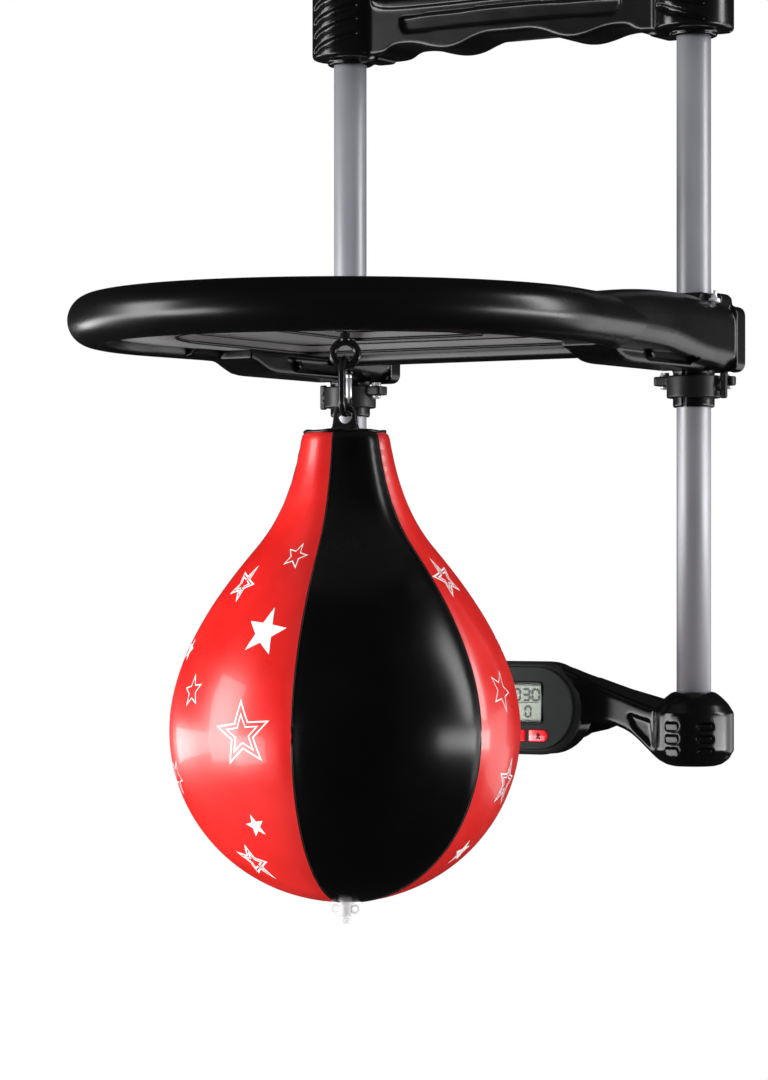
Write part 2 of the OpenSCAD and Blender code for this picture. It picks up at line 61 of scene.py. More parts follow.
# %% Read the sizes that the pieces share
def box_mm(node):
    low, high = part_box(node)
    return low / MM, high / MM


tube_low, tube_high = box_mm("right_tube")
TUBE_R = (tube_high.x - tube_low.x) / 2
TUBE_X = (tube_high.x + tube_low.x) / 2
TUBE_Y = (tube_high.y + tube_low.y) / 2
top_low, top_high = box_mm("top_crossbar")
HOUSE_R = top_high.x - TUBE_X
shell_low, shell_high = box_mm("board_shell")
BOARD_R = (shell_high.x - shell_low.x) / 2
PIVOT_Y = shell_low.y + BOARD_R
RIM_R = (shell_high.z - shell_low.z) / 2
RIM_Z = (shell_high.z + shell_low.z) / 2
PIVOT = Vector((0, PIVOT_Y, 0))
print(f"tubes at x = {TUBE_X:.1f}, y = {TUBE_Y:.1f}; board radius {BOARD_R:.0f}")
print(f"the bag hangs at y = {PIVOT_Y:.0f}")

# %% [markdown]
# ## Small tools for making meshes
#
# All pieces are drawn in millimetres, in the frame's own axes, and stored in metres. A mesh
# that was spun or mirrored can be inside out, so each one is merged at its poles and seams and
# its faces are turned outwards before anything else happens to it.

# %% Make a mesh object from points and faces
SAME_POINT, NO_LENGTH = 1e-6, 1e-7  # metres


def edited(mesh, work):
    """Opens a mesh for editing, lets work change it, and writes it back."""
    bm = bmesh.new()
    bm.from_mesh(mesh)
    work(bm)
    bm.to_mesh(mesh)
    bm.free()


def shown(name, mesh):
    """An object in the scene for a mesh."""
    thing = bpy.data.objects.new(name, mesh)
    bpy.context.scene.collection.objects.link(thing)
    return thing


def painted(thing, material):
    """Gives a piece one finish all over."""
    thing.data.materials.clear()
    thing.data.materials.append(material)


def mesh_object(name, points, faces, material=None, smooth=True, merge=0.004):
    """A closed mesh from points in millimetres, merged and turned outwards."""
    mesh = bpy.data.meshes.new(name)
    mesh.from_pydata([Vector(p) * MM for p in points], [], faces)

    def clean(bm):
        bmesh.ops.remove_doubles(bm, verts=bm.verts, dist=merge * MM)
        bmesh.ops.dissolve_degenerate(bm, dist=NO_LENGTH, edges=bm.edges)
        bmesh.ops.recalc_face_normals(bm, faces=bm.faces)

    edited(mesh, clean)
    if material:
        mesh.materials.append(material)
    mesh.polygons.foreach_set("use_smooth", [smooth] * len(mesh.polygons))
    return shown(name, mesh)

# %% [markdown]
# Most pieces here are grids: rows of points, with a loop of points in each row. Their faces
# can be counted out by rule, which gives even quads and no surprises.

# %% Count out faces and points
def grid_faces(rows, columns, closed=True):
    """Quads between neighbouring rows of points, each row a loop of that many columns."""
    last = columns if closed else columns - 1
    return [(r * columns + c, r * columns + (c + 1) % columns,
             (r + 1) * columns + (c + 1) % columns, (r + 1) * columns + c)
            for r in range(rows - 1) for c in range(last)]


def end_caps(rows, columns):
    """The first and the last row as two many-sided faces."""
    return [tuple(range(columns)), tuple((rows - 1) * columns + k for k in range(columns))]


def closing_faces(rows, columns):
    """Quads from the last row round to the first one."""
    last = (rows - 1) * columns
    return [(last + k, last + (k + 1) % columns, (k + 1) % columns, k) for k in range(columns)]


def around(steps):
    """Angles of a full turn, in equal steps."""
    return [math.tau * i / steps for i in range(steps)]


def circle(radius, steps=20):
    return [(radius * math.cos(a), radius * math.sin(a)) for a in around(steps)]


def oblong(a0, a1, b0, b1):
    """The four corners of a rectangle."""
    return [(a0, b0), (a1, b0), (a1, b1), (a0, b1)]


print("a tube of 3 rows and 8 columns has", len(grid_faces(3, 8)), "faces")

# %% [markdown]
# A turned part, such as a tube or a nut, is a profile spun about a line. It could be done with
# a Screw modifier, but a function that returns a finished mesh is easier to cut and to join.

# %% Spin a profile, and draw outlines with round corners
def lathe(name, profile, centre, material=None, steps=96, closed=True, smooth=True):
    """Spins a profile of (radius, height) about a vertical line through centre."""
    profile = list(profile) + ([profile[0]] if closed else [])
    points = [(centre[0] + r * math.cos(a), centre[1] + r * math.sin(a), centre[2] + z)
              for r, z in profile
              for a in around(steps)]
    return mesh_object(name, points, grid_faces(len(profile), steps), material, smooth)


def plug(side, radius, low, high):
    """A round cutter down a tube's line."""
    return lathe("plug", [(0, low), (radius, low), (radius, high), (0, high)],
                 (side * TUBE_X, TUBE_Y, 0), closed=False, steps=64)


def rounded(profile, radius, steps=5):
    """Rounds each corner of a closed outline of 2D points."""
    made = []
    count = len(profile)
    for i, corner in enumerate(profile):
        here = Vector(corner)
        back = Vector(profile[i - 1]) - here
        ahead = Vector(profile[(i + 1) % count]) - here
        reach = min(radius, back.length * 0.48, ahead.length * 0.48)
        start, end = here + back.normalized() * reach, here + ahead.normalized() * reach
        for k in range(steps + 1):
            t = k / steps
            made.append(tuple(start * (1 - t) ** 2 + here * 2 * t * (1 - t) + end * t * t))
    return made


def curve_through(points, steps=8, closed=False):
    """A smooth line through 2D points, as Catmull and Rom draw it."""
    count = len(points)
    made = []
    for i in range(count if closed else count - 1):
        p = [Vector(points[(i + k) % count] if closed else points[min(max(i + k, 0), count - 1)])
             for k in (-1, 0, 1, 2)]
        for s in range(steps):
            t = s / steps
            made.append(tuple(0.5 * (2 * p[1] + (p[2] - p[0]) * t
                        + (2 * p[0] - 5 * p[1] + 4 * p[2] - p[3]) * t * t
                        + (3 * p[1] - p[0] - 3 * p[2] + p[3]) * t ** 3)))
    return made if closed else made + [tuple(points[-1])]

# %% [markdown]
# Most moulded and stamped parts start as a slab: an outline, a thickness and a rounded rim.
# The rim is bevelled in the mesh itself, so that a later cut or melt starts from true edges.

# %% Make a slab with rounded edges
ACROSS = {"x": lambda a, b, h: (h, a, b), "y": lambda a, b, h: (a, h, b),
          "z": lambda a, b, h: (a, b, h)}


def slab(name, outline, low, high, along="y", edge=0.0, material=None, segments=3, smooth=True):
    """A closed outline drawn across an axis and extruded along it, with its rims bevelled."""
    place = ACROSS[along]
    n = len(outline)
    points = [place(a, b, h) for h in (low, high) for a, b in outline]
    faces = [tuple(range(n)), tuple(range(2 * n - 1, n - 1, -1))] + grid_faces(2, n)
    made = mesh_object(name, points, faces, material, smooth)

    def bevel_rims(bm):
        rims = [e for e in bm.edges if any(len(f.verts) > 4 for f in e.link_faces)]
        bmesh.ops.bevel(bm, geom=rims, offset=edge * MM, segments=segments, profile=0.5,
                        affect="EDGES", clamp_overlap=True)

    if edge:
        edited(made.data, bevel_rims)
    return made

# %% [markdown]
# A real moulding is one piece with small radii wherever two shapes meet. Here the solids are
# joined, the pockets are cut away with a boolean, and a voxel remesh melts all of it into one
# skin. A few rounds of smoothing then soften the edges, as the radii of a mould do.

# %% Join, cut and melt


def joined(name, parts):
    """Joins meshes into the first one."""
    mesh = bpy.data.meshes.new(name)
    bm = bmesh.new()
    materials = []
    for part in parts:
        start = len(bm.faces)
        bm.from_mesh(part.data)
        bm.faces.ensure_lookup_table()
        own = list(part.data.materials)
        for m in own:
            if m not in materials:
                materials.append(m)
        for face in bm.faces[start:]:
            if own:
                face.material_index = materials.index(own[face.material_index])
    bm.to_mesh(mesh)
    bm.free()
    for part in parts:
        bpy.data.objects.remove(part)
    for m in materials:
        mesh.materials.append(m)
    return shown(name, mesh)


def applied(thing):
    """Replaces an object's mesh by what its modifiers make of it."""
    mesh = bpy.data.meshes.new_from_object(
        thing.evaluated_get(bpy.context.evaluated_depsgraph_get()))
    thing.modifiers.clear()
    thing.data = mesh
    return thing


def cut_away(thing, knife, **settings):
    """Takes a closed solid away from a piece for good."""
    cut = thing.modifiers.new("cut", "BOOLEAN")
    cut.object, cut.operation, cut.solver = knife, "DIFFERENCE", "EXACT"
    for key, value in settings.items():
        setattr(cut, key, value)
    applied(thing)
    bpy.data.objects.remove(knife)


def moulded(name, solids, cutters, material, voxel=1.1, softness=4):
    """Melts closed solids into one moulding, less the cutters, with small soft radii."""
    body = joined(name, solids)
    if cutters:
        cut_away(body, joined(name + "_cut", cutters), use_self=True)
    body.modifiers.new("melt", "REMESH").voxel_size = voxel * MM
    soften = body.modifiers.new("soften", "SMOOTH")
    soften.factor, soften.iterations = 0.5, softness
    applied(body)
    painted(body, material)
    body.data.polygons.foreach_set("use_smooth", [True] * len(body.data.polygons))
    return body

# %% [markdown]
# Every finished piece is hung on the body it moves with, and the CAD nodes it stands for are
# hidden. One function does both, and prints how many faces the piece has.

# %% Settle a finished piece
def settle(thing, body, slot, *nodes):
    """Hangs a finished piece on the body it rides on and hides the CAD nodes it stands for; slot is
    not used.
    """
    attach(thing, body)
    if nodes:
        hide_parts(*nodes)
    print(thing.name, "rides on", body, "and has", len(thing.data.polygons), "faces")
    return thing

# %% [markdown]
# ## Two node trees that do the repeating
#
# Screws and ribs are one shape set down many times, and wires, beads and straps are one
# profile carried along a line. Geometry Nodes do both. The first tree puts copies of a shape
# on points, and the second sweeps a profile along an outline. Each result is turned into a
# plain mesh at the end, so that no modifier stays on the piece.

# %% Build the tree that sets down copies
def new_tree(name, sockets):
    tree = bpy.data.node_groups.new(name, "GeometryNodeTree")
    tree.interface.new_socket(name="Geometry", in_out="INPUT", socket_type="NodeSocketGeometry")
    for socket, kind in sockets:
        tree.interface.new_socket(name=socket, in_out="INPUT", socket_type="NodeSocket" + kind)
    tree.interface.new_socket(name="Geometry", in_out="OUTPUT", socket_type="NodeSocketGeometry")
    return tree, tree.nodes.new("NodeGroupInput"), tree.nodes.new("NodeGroupOutput")


def wired(name, sockets, kinds, links):
    """A tree from its nodes' kinds and its links: node, output, node, input."""
    tree, given, out = new_tree(name, sockets)
    nodes = {key: tree.nodes.new(kind) for key, kind in kinds.items()}
    nodes.update(given=given, out=out)
    for source, output, target, into in links:
        tree.links.new(nodes[source].outputs[output], nodes[target].inputs[into])
    return tree, nodes


COPIES, _ = wired(
    "copies on points",
    [("Shape", "Object"), ("Turn", "Vector"), ("Random turn", "Float"), ("Seed", "Int"),
     ("Finish", "Material")],
    {"shape": "GeometryNodeObjectInfo", "twist": "FunctionNodeRandomValue",
     "spin": "ShaderNodeCombineXYZ", "place": "GeometryNodeInstanceOnPoints",
     "turn": "GeometryNodeRotateInstances", "real": "GeometryNodeRealizeInstances",
     "finish": "GeometryNodeSetMaterial"},
    [("given", "Shape", "shape", 0), ("given", "Geometry", "place", "Points"),
     ("shape", "Geometry", "place", "Instance"), ("given", "Turn", "place", "Rotation"),
     ("given", "Random turn", "twist", 3), ("given", "Seed", "twist", "Seed"),
     ("twist", 1, "spin", "Z"), ("place", 0, "turn", "Instances"),
     ("spin", 0, "turn", "Rotation"), ("turn", 0, "real", 0), ("real", 0, "finish", "Geometry"),
     ("given", "Finish", "finish", "Material"), ("finish", 0, "out", 0)])
print("the tree that sets down copies has", len(COPIES.nodes), "nodes")


def run_tree(thing, tree, **values):
    """Sets a tree's inputs by identifier, evaluates it once and keeps the plain mesh."""
    modifier = thing.modifiers.new("nodes", "NODES")
    modifier.node_group = tree
    for item in tree.interface.items_tree:
        key = item.name.replace(" ", "_").lower()
        if item.in_out == "INPUT" and key in values:
            modifier[item.identifier] = values[key]
    return applied(thing)


def copies(name, shape, places, turn, material, random_turn=0.0, seed=1):
    """Copies of a shape, which is drawn about the origin along Z, at places in millimetres."""
    host = mesh_object(name, places, [], merge=0)
    run_tree(host, COPIES, shape=shape, turn=[math.radians(a) for a in turn],
             random_turn=random_turn, seed=seed, finish=material)
    bpy.data.objects.remove(shape)
    print(name, "is", len(places), "copies,", len(host.data.polygons), "faces")
    return host

# %% [markdown]
# The second tree turns a loop of edges into a curve, and carries another loop along it. The
# curve's normals are kept level, because a rim, a bead or a step edge must not twist.

# %% Build the tree that sweeps a profile
SWEEP, sweep_nodes = wired(
    "profile along a line",
    [("Profile", "Object"), ("Caps", "Bool"), ("Finish", "Material")],
    {"line": "GeometryNodeMeshToCurve", "level": "GeometryNodeSetCurveNormal",
     "shape": "GeometryNodeObjectInfo", "outline": "GeometryNodeMeshToCurve",
     "sweep": "GeometryNodeCurveToMesh", "real": "GeometryNodeRealizeInstances",
     "finish": "GeometryNodeSetMaterial"},
    [("given", "Geometry", "line", 0), ("line", 0, "level", 0), ("given", "Profile", "shape", 0),
     ("shape", "Geometry", "outline", 0), ("level", 0, "sweep", "Curve"),
     ("outline", 0, "sweep", "Profile Curve"), ("given", "Caps", "sweep", "Fill Caps"),
     ("sweep", 0, "real", 0), ("real", 0, "finish", "Geometry"),
     ("given", "Finish", "finish", "Material"), ("finish", 0, "out", 0)])
sweep_nodes["level"].mode = "Z_UP"
print("the tree that sweeps a profile has", len(SWEEP.nodes), "nodes")


def wire_object(name, points, closed):
    """A line of edges for a tree to work along, in millimetres."""
    mesh = bpy.data.meshes.new(name)
    n = len(points)
    mesh.from_pydata([Vector(p) * MM for p in points],
                     [(i, (i + 1) % n) for i in range(n if closed else n - 1)], [])
    return shown(name, mesh)


def swept(name, line, profile, material, closed=False):
    """Carries a closed 2D profile along a line of 3D points, both in millimetres."""
    shape = wire_object(name + "_profile", [(a, b, 0) for a, b in profile], True)
    host = wire_object(name, line, closed)
    run_tree(host, SWEEP, profile=shape, caps=not closed, finish=material)
    bpy.data.objects.remove(shape)

    def clean(bm):
        bmesh.ops.remove_doubles(bm, verts=bm.verts, dist=SAME_POINT)
        bmesh.ops.recalc_face_normals(bm, faces=bm.faces)

    edited(host.data, clean)
    host.data.polygons.foreach_set("use_smooth", [len(f.vertices) == 4 for f in host.data.polygons])
    return host

# %% [markdown]
# ## Finishes
#
# Each finish is a Principled shader whose colour, roughness and bump vary at the scale of the
# real surface: flow marks and dust on moulded plastic, orange peel in paint, faint creases in
# vinyl. The patterns read object coordinates, so they stay on the piece when it moves.

# %% A finish with its own grain
def finish_of(name, colour, roughness, metallic=0.0, grain=900.0, grain_bump=0.02, patch=14.0,
              patch_change=0.06, patch_bump=0.0, coat=0.0, colour_change=0.12, shine=0.5):
    """A Principled finish: broad patches vary its colour and gloss, fine grain its bump."""
    material = bpy.data.materials.new(name)
    material.use_nodes = True
    nodes, link = material.node_tree.nodes, material.node_tree.links.new
    shader = nodes["Principled BSDF"]
    where = nodes.new("ShaderNodeTexCoord")

    def noise(scale, detail):
        made = nodes.new("ShaderNodeTexNoise")
        made.inputs["Scale"].default_value = scale
        made.inputs["Detail"].default_value = detail
        link(where.outputs["Object"], made.inputs["Vector"])
        return made

    def ranged(source, low, high):
        made = nodes.new("ShaderNodeMapRange")
        made.inputs["From Min"].default_value, made.inputs["From Max"].default_value = 0.3, 0.7
        made.inputs["To Min"].default_value, made.inputs["To Max"].default_value = low, high
        link(source, made.inputs["Value"])
        return made.outputs[0]

    patches, fine = noise(patch, 4), noise(grain, 2)
    shade = nodes.new("ShaderNodeValToRGB")
    darker = [c * (1 - colour_change) for c in colour]
    lighter = [min(1, c * (1 + colour_change)) for c in colour]
    shade.color_ramp.elements[0].position, shade.color_ramp.elements[0].color = 0.3, (*darker, 1)
    shade.color_ramp.elements[1].position, shade.color_ramp.elements[1].color = 0.7, (*lighter, 1)
    link(patches.outputs["Fac"], shade.inputs[0])
    link(shade.outputs[0], shader.inputs["Base Color"])
    link(ranged(patches.outputs["Fac"], roughness - patch_change, roughness + patch_change),
         shader.inputs["Roughness"])
    bump = nodes.new("ShaderNodeBump")
    bump.inputs["Strength"].default_value = grain_bump
    bump.inputs["Distance"].default_value = 0.0004
    link(fine.outputs["Fac"], bump.inputs["Height"])
    last = bump
    if patch_bump:
        last = nodes.new("ShaderNodeBump")
        last.inputs["Strength"].default_value = patch_bump
        last.inputs["Distance"].default_value = 0.002
        link(patches.outputs["Fac"], last.inputs["Height"])
        link(bump.outputs[0], last.inputs["Normal"])
    link(last.outputs[0], shader.inputs["Normal"])
    shader.inputs["Metallic"].default_value = metallic
    shader.inputs["Coat Weight"].default_value = coat
    shader.inputs["Specular IOR Level"].default_value = shine
    return material

# %% [markdown]
# The set has three kinds of black. The housings and the board are polished plastic, which is nearly
# black and mirrors the panels; the covers, clamps and bezel are matt; and the steel is plated.
# They could share one material, but on the real set it is the difference in gloss that tells
# the parts from each other.

# %% Mix the finishes
gloss_black = finish_of("gloss_black_plastic", (0.003, 0.003, 0.0033), 0.22, grain=1400,
                        grain_bump=0.03, patch=22, patch_change=0.04, shine=0.34)
board_black = finish_of("board_black_plastic", (0.0025, 0.0025, 0.0028), 0.28, grain=1100,
                        grain_bump=0.03, patch=9, patch_change=0.04, shine=0.34)
satin_black = finish_of("satin_black_plastic", (0.007, 0.007, 0.0075), 0.42, grain=2200,
                        grain_bump=0.12, patch=30, patch_change=0.06, shine=0.35)
tube_paint = finish_of("tube_silver_paint", (0.26, 0.262, 0.285), 0.40, metallic=0.35, grain=1500,
                       grain_bump=0.06, patch=18, patch_change=0.04, colour_change=0.05)
hook_paint = finish_of("hook_black_paint", (0.02, 0.02, 0.022), 0.36, metallic=0.2, grain=1300,
                       grain_bump=0.10, patch=25)
bright_steel = finish_of("bright_steel", (0.74, 0.74, 0.76), 0.32, metallic=0.6, grain=2600,
                         grain_bump=0.02, patch=60, patch_change=0.04)
black_steel = finish_of("black_plated_steel", (0.018, 0.018, 0.02), 0.2, metallic=0.6, grain=1800,
                        grain_bump=0.05, patch=80, patch_change=0.06)
foam = finish_of("door_foam", (0.03, 0.03, 0.033), 0.9, grain=2400, grain_bump=0.5, patch=60)
# Painted highlight: the pod lip is drawn grey for the light that falls on the pod's bevel
pod_lip_painted_highlight = finish_of("pod_grey_plastic", (0.014, 0.015, 0.0145), 0.46, grain=2200,
                     grain_bump=0.12, patch=30, shine=0.25)
# Painted light: the inner column of slats is drawn grey for the light on it; the outer column keeps
# the housing's black
slat_painted_light = finish_of("slat_grey_plastic", (0.22, 0.22, 0.22), 0.4, grain=2200, patch=60)
# Painted light: the underside is the board's black plastic, drawn light grey for the floor's light
# under it
underside_painted_light = finish_of("underside_black_plastic", (0.15, 0.15, 0.152), 0.45, grain=1800,
                        grain_bump=0.08, patch=12, patch_change=0.05, shine=0.4)
bezel_grey = finish_of("bezel_grey_plastic", (0.013, 0.015, 0.014), 0.5, grain=2600,
                       grain_bump=0.15, patch=40, shine=0.15)
button_red = finish_of("button_red_plastic", (0.78, 0.012, 0.026), 0.26, grain=1500,
                       grain_bump=0.04, patch=60, coat=0.4)
display_grey = finish_of("display_grey_green", (0.36, 0.41, 0.34), 0.38, grain=3200,
                         grain_bump=0.03, patch=30, colour_change=0.05)
digit_dark = finish_of("display_segments", (0.008, 0.011, 0.008), 0.4, grain=3000, patch=40)
icon_dark = finish_of("button_marks", (0.03, 0.006, 0.008), 0.45, grain=3000, patch=40)
circuit_green = finish_of("circuit_green", (0.015, 0.13, 0.05), 0.35, grain=1800, grain_bump=0.2,
                          patch=120, colour_change=0.25)
brass = finish_of("brass_disc", (0.62, 0.42, 0.14), 0.3, metallic=1.0, grain=2000, patch=80)
silicone = finish_of("keypad_silicone", (0.24, 0.24, 0.25), 0.6, grain=2000, patch=60)
battery_wrap = finish_of("battery_wrap", (0.09, 0.09, 0.1), 0.3, metallic=0.4, grain=1500,
                         patch=50)
print(len(bpy.data.materials), "finishes so far")

# %% [markdown]
# The window and the valve are clear, and a glass shader would need many bounces of light to
# look right. A low alpha with a sharp highlight shows what lies behind for little cost.

# %% A clear finish for the window and the valve
def clear_finish(name, colour, roughness, alpha, grain=500):
    made = finish_of(name, colour, roughness, grain=grain, grain_bump=0.03, patch=40,
                     patch_change=0.03, colour_change=0.04)
    made.node_tree.nodes["Principled BSDF"].inputs["Alpha"].default_value = alpha
    return made


window_clear = clear_finish("window_clear", (0.62, 0.66, 0.63), 0.06, 0.07)
valve_clear = clear_finish("valve_clear_vinyl", (0.82, 0.83, 0.84), 0.16, 0.5)
print(len(bpy.data.materials), "finishes with the clear ones")

# %% [markdown]
# ## Camera, floor and light
#
# The set is seen from the player's right, level with the bag. A long lens keeps the two tubes
# nearly parallel. The floor is a pale disc far below, and the light comes from large soft
# panels, because glossy black plastic shows its shape only by what it reflects.

# %% Place the camera
VIEW_ANGLE, FOCAL_LENGTH, SENSOR, RISE = math.radians(32), 126.7, 36.0, 0.0417
CAMERA_PLACE, FAR_CLIP = (1440, -2527, -432), 50
camera_data = bpy.data.cameras.new("camera")
camera_data.lens, camera_data.sensor_width = FOCAL_LENGTH, SENSOR
camera_data.sensor_fit = "AUTO"
camera_data.shift_y = RISE
camera_data.clip_end = FAR_CLIP
camera = shown("camera", camera_data)
camera.location = Vector(CAMERA_PLACE) * MM
camera.rotation_euler = (math.radians(90), 0, VIEW_ANGLE)
bpy.context.scene.camera = camera
bpy.context.scene.view_settings.view_transform = "Standard"
print("the camera stands at", CAMERA_PLACE, "mm")

# %% [markdown]
# Product lights are soft boxes, and each one is there for a reflection. The key panel draws
# the broad sheen on the left of the rim and the bag, a tall panel draws the line along the
# tubes, and low bands pick out the lower edges. The filling panels would put grey squares in
# the black plastic, so they are hidden from mirror reflections.

# %% Hang the soft panels
MIDDLE_Y, MIDDLE_Z = -0.2, -0.42  # metres, where the panels look


def soft_panel(name, angle, distance, height, size, power, aim=(0, MIDDLE_Y, MIDDLE_Z)):
    """A rectangular light; angle is seen from above, from the front towards the right."""
    data = bpy.data.lights.new(name, "AREA")
    data.shape, data.size, data.size_y = "RECTANGLE", size[0], size[1]
    data.energy = power
    panel = shown(name, data)
    a = math.radians(angle)
    panel.location = Vector((distance * math.sin(a), MIDDLE_Y - distance * math.cos(a), height))
    panel.rotation_euler = (Vector(aim) - panel.location).to_track_quat("-Z", "Y").to_euler()
    return panel


soft_panel("key_panel", -52, 2.2, -0.35, (0.9, 1.5), 44)
soft_panel("left_band", -84, 1.9, -0.72, (1.5, 0.3), 11)
soft_panel("right_band", 112, 1.9, -0.70, (1.5, 0.3), 20)
soft_panel("rear_band", 152, 1.9, -0.78, (1.3, 0.9), 6)
soft_panel("low_left_panel", -32, 1.9, -0.86, (0.8, 0.5), 13)
soft_panel("right_panel", 118, 2.0, 0.3, (0.5, 1.4), 26)
for hidden in (soft_panel("front_panel", 30, 3.6, 1.2, (2.6, 1.6), 72),
               soft_panel("top_panel", 10, 1.2, 1.9, (2.2, 1.4), 16),
               soft_panel("back_panel", 200, 2.6, 0.6, (1.8, 1.8), 26),
               soft_panel("low_panel", -70, 1.3, -0.86, (1.4, 0.7), 30, aim=(0, -0.2, -0.25))):
    hidden.visible_glossy = False
print(len(bpy.data.lights), "soft panels")

# %% [markdown]
# The surroundings are white to the eye, but they may not shine like that on black plastic. A
# light path node tells the rays apart: what the camera sees is white, what lights the pieces
# is a dim blue-white, and what a glossy surface mirrors is almost dark.

# %% Paint the sky and lay the floor
sky = bpy.data.worlds.new("studio")
bpy.context.scene.world = sky
sky.use_nodes = True
sky_nodes, sky_link = sky.node_tree.nodes, sky.node_tree.links.new
seen = sky_nodes.new("ShaderNodeLightPath")
mirrored, choose = [sky_nodes.new("ShaderNodeMixShader") for _ in range(2)]


def glow(node, colour, strength):
    node.inputs[0].default_value, node.inputs[1].default_value = (*colour, 1), strength
    return node


white = glow(sky_nodes["Background"], (1, 1, 1), 1.0)
dim = glow(sky_nodes.new("ShaderNodeBackground"), (0.93, 0.96, 1), 0.10)
dark = glow(sky_nodes.new("ShaderNodeBackground"), (1, 1, 1), 0.015)
sky_link(seen.outputs["Is Glossy Ray"], mirrored.inputs[0])
sky_link(dim.outputs[0], mirrored.inputs[1])
sky_link(dark.outputs[0], mirrored.inputs[2])
sky_link(seen.outputs["Is Camera Ray"], choose.inputs[0])
sky_link(mirrored.outputs[0], choose.inputs[1])
sky_link(white.outputs[0], choose.inputs[2])
sky_link(choose.outputs[0], sky_nodes["World Output"].inputs[0])

floor_finish = finish_of("pale_floor", (0.8, 0.8, 0.79), 0.7, grain=60, patch=3,
                         colour_change=0.01)
FLOOR_R, FLOOR_Z = 1080, -940
floor = lathe("floor", [(0, 0), (FLOOR_R, 0), (FLOOR_R, -10), (0, -10)], (0, -200, FLOOR_Z),
              floor_finish, closed=False, smooth=False)
floor.visible_glossy = False
print("the floor is", 2 * FLOOR_R, "mm across")

# %% [markdown]
# ## The tubes
#
# Each tube is drawn steel with a painted skin. A lathe gives it true round walls, a bore and
# broken edges, which a coarse CAD mesh doesn't show in a reflection.

# %% Turn the tubes
for side, label in ((-1, "left"), (1, "right")):
    wall, edge = 1.2, 0.3
    length = tube_high.z - tube_low.z
    profile = [(TUBE_R - edge, 0), (TUBE_R, edge), (TUBE_R, length - edge),
               (TUBE_R - edge, length), (TUBE_R - wall, length), (TUBE_R - wall, 0)]
    tube = lathe(label + "_painted_tube", profile, (side * TUBE_X, TUBE_Y, tube_low.z), tube_paint)
    tube.data.polygons.foreach_set(
        "use_smooth", [abs(f.normal.z) < 0.3 for f in tube.data.polygons])
    settle(tube, "frame", "tube_paint", label + "_tube")
print("tubes are", round(length), "mm long")

# %% [markdown]
# ## Screws
#
# A pan head with a cross recess is pressed, so its edge is round and its recess is shallow.
# One head is made with the lathe and a boolean cut, and the tree sets down the copies with a
# random turn each, since no two screws stop at the same angle.

# %% Press one cross-head screw
def screw_head(radius, height):
    dome = [(0, 0), (radius, 0), (radius, height * 0.4), (radius * 0.86, height * 0.8),
            (radius * 0.5, height * 0.97), (0, height)]
    head = lathe("head", dome, (0, 0, 0), bright_steel, steps=32, closed=False)
    arm, wide = radius * 0.55, radius * 0.16
    for a, b in ((arm, wide), (wide, arm)):
        cut_away(head, slab("bar", oblong(-a, a, -b, b), height * 0.45, height + 1, "z"))
    return head

# %% [markdown]
# The CAD keeps equal screws in one node. To find each screw, its mesh is walked from vertex
# to vertex along the edges, and each island of vertices is one screw.

# %% Find the screws and set down their heads
def boxes_of(node):
    """The box of each loose piece of a CAD node, in millimetres."""
    bm = bmesh.new()
    bm.from_mesh(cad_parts[node].data)
    bmesh.ops.remove_doubles(bm, verts=bm.verts, dist=SAME_POINT)
    reached, found = set(), []
    for vert in bm.verts:
        if vert in reached:
            continue
        stack, island = [vert], []
        reached.add(vert)
        while stack:
            v = stack.pop()
            island.append(v.co / MM)
            fresh = {e.other_vert(v) for e in v.link_edges} - reached
            reached |= fresh
            stack += fresh
        low = Vector([min(p[i] for p in island) for i in range(3)])
        high = Vector([max(p[i] for p in island) for i in range(3)])
        found.append((low, high))
    bm.free()
    return found


HEAD_HEIGHT = 1.7
for node, radius in (("top_cover_screws", 3.4), ("lower_cover_screws", 3.4),
                     ("door_hook_screws", 3.9)):
    boxes = boxes_of(node)
    places = [((a.x + b.x) / 2, b.y - 1.8, (a.z + b.z) / 2) for a, b in boxes]
    heads = copies(node.replace("screws", "screw_heads"), screw_head(radius, HEAD_HEIGHT),
                   places, (-90, 0, 0), bright_steel, random_turn=3.0, seed=4)
    settle(heads, "frame", "screw_steel", node)

# %% [markdown]
# ## The top crossbar
#
# It is one injection moulding: a round housing with slanted slots over each tube, and a beam
# between them with a long recess in its face and a waved lower edge. Booleans alone would
# leave knife edges, so the shapes are melted together at about a millimetre, which gives
# every edge the small radius that a mould has.

# %% Draw the housings and their slots
def housing_outline(back, radius=HOUSE_R, foot=18, steps=40):
    """A circle about the tube that runs into a narrower foot at the back."""
    turn = math.asin(foot / radius)
    arc = [(radius * math.sin(a), -radius * math.cos(a))
           for a in [turn - math.pi + (math.tau - 2 * turn) * i / steps for i in range(steps + 1)]]
    return [(x, TUBE_Y + y) for x, y in arc] + [(foot, back), (-foot, back)]


def housing(side, low, high, back, edge):
    outline = [(side * TUBE_X + x, y) for x, y in housing_outline(back)]
    return slab("housing", outline, low, high, "z", edge)


def round_slot(side, middle, height, half_angle, slant, depth, radius=HOUSE_R, at=0.0):
    """A cutter that follows the round front of a housing, and climbs by slant per radian."""
    steps, points = 14, []
    for i in range(steps + 1):
        a = math.radians(at - half_angle + 2 * half_angle * i / steps)
        squeeze = 1 - 0.55 * abs(2 * i / steps - 1) ** 6
        z = middle - side * slant * (a - math.radians(at)) * radius
        for r, h in ((radius - depth, -0.42), (radius + 3, -0.5), (radius + 3, 0.5),
                     (radius - depth, 0.42)):
            points.append((side * TUBE_X + r * math.sin(a), TUBE_Y - r * math.cos(a),
                           z + h * height * squeeze))
    faces = grid_faces(steps + 1, 4)
    faces += [(3, 2, 1, 0), tuple(4 * steps + k for k in range(4))]
    return mesh_object("slot", points, faces)


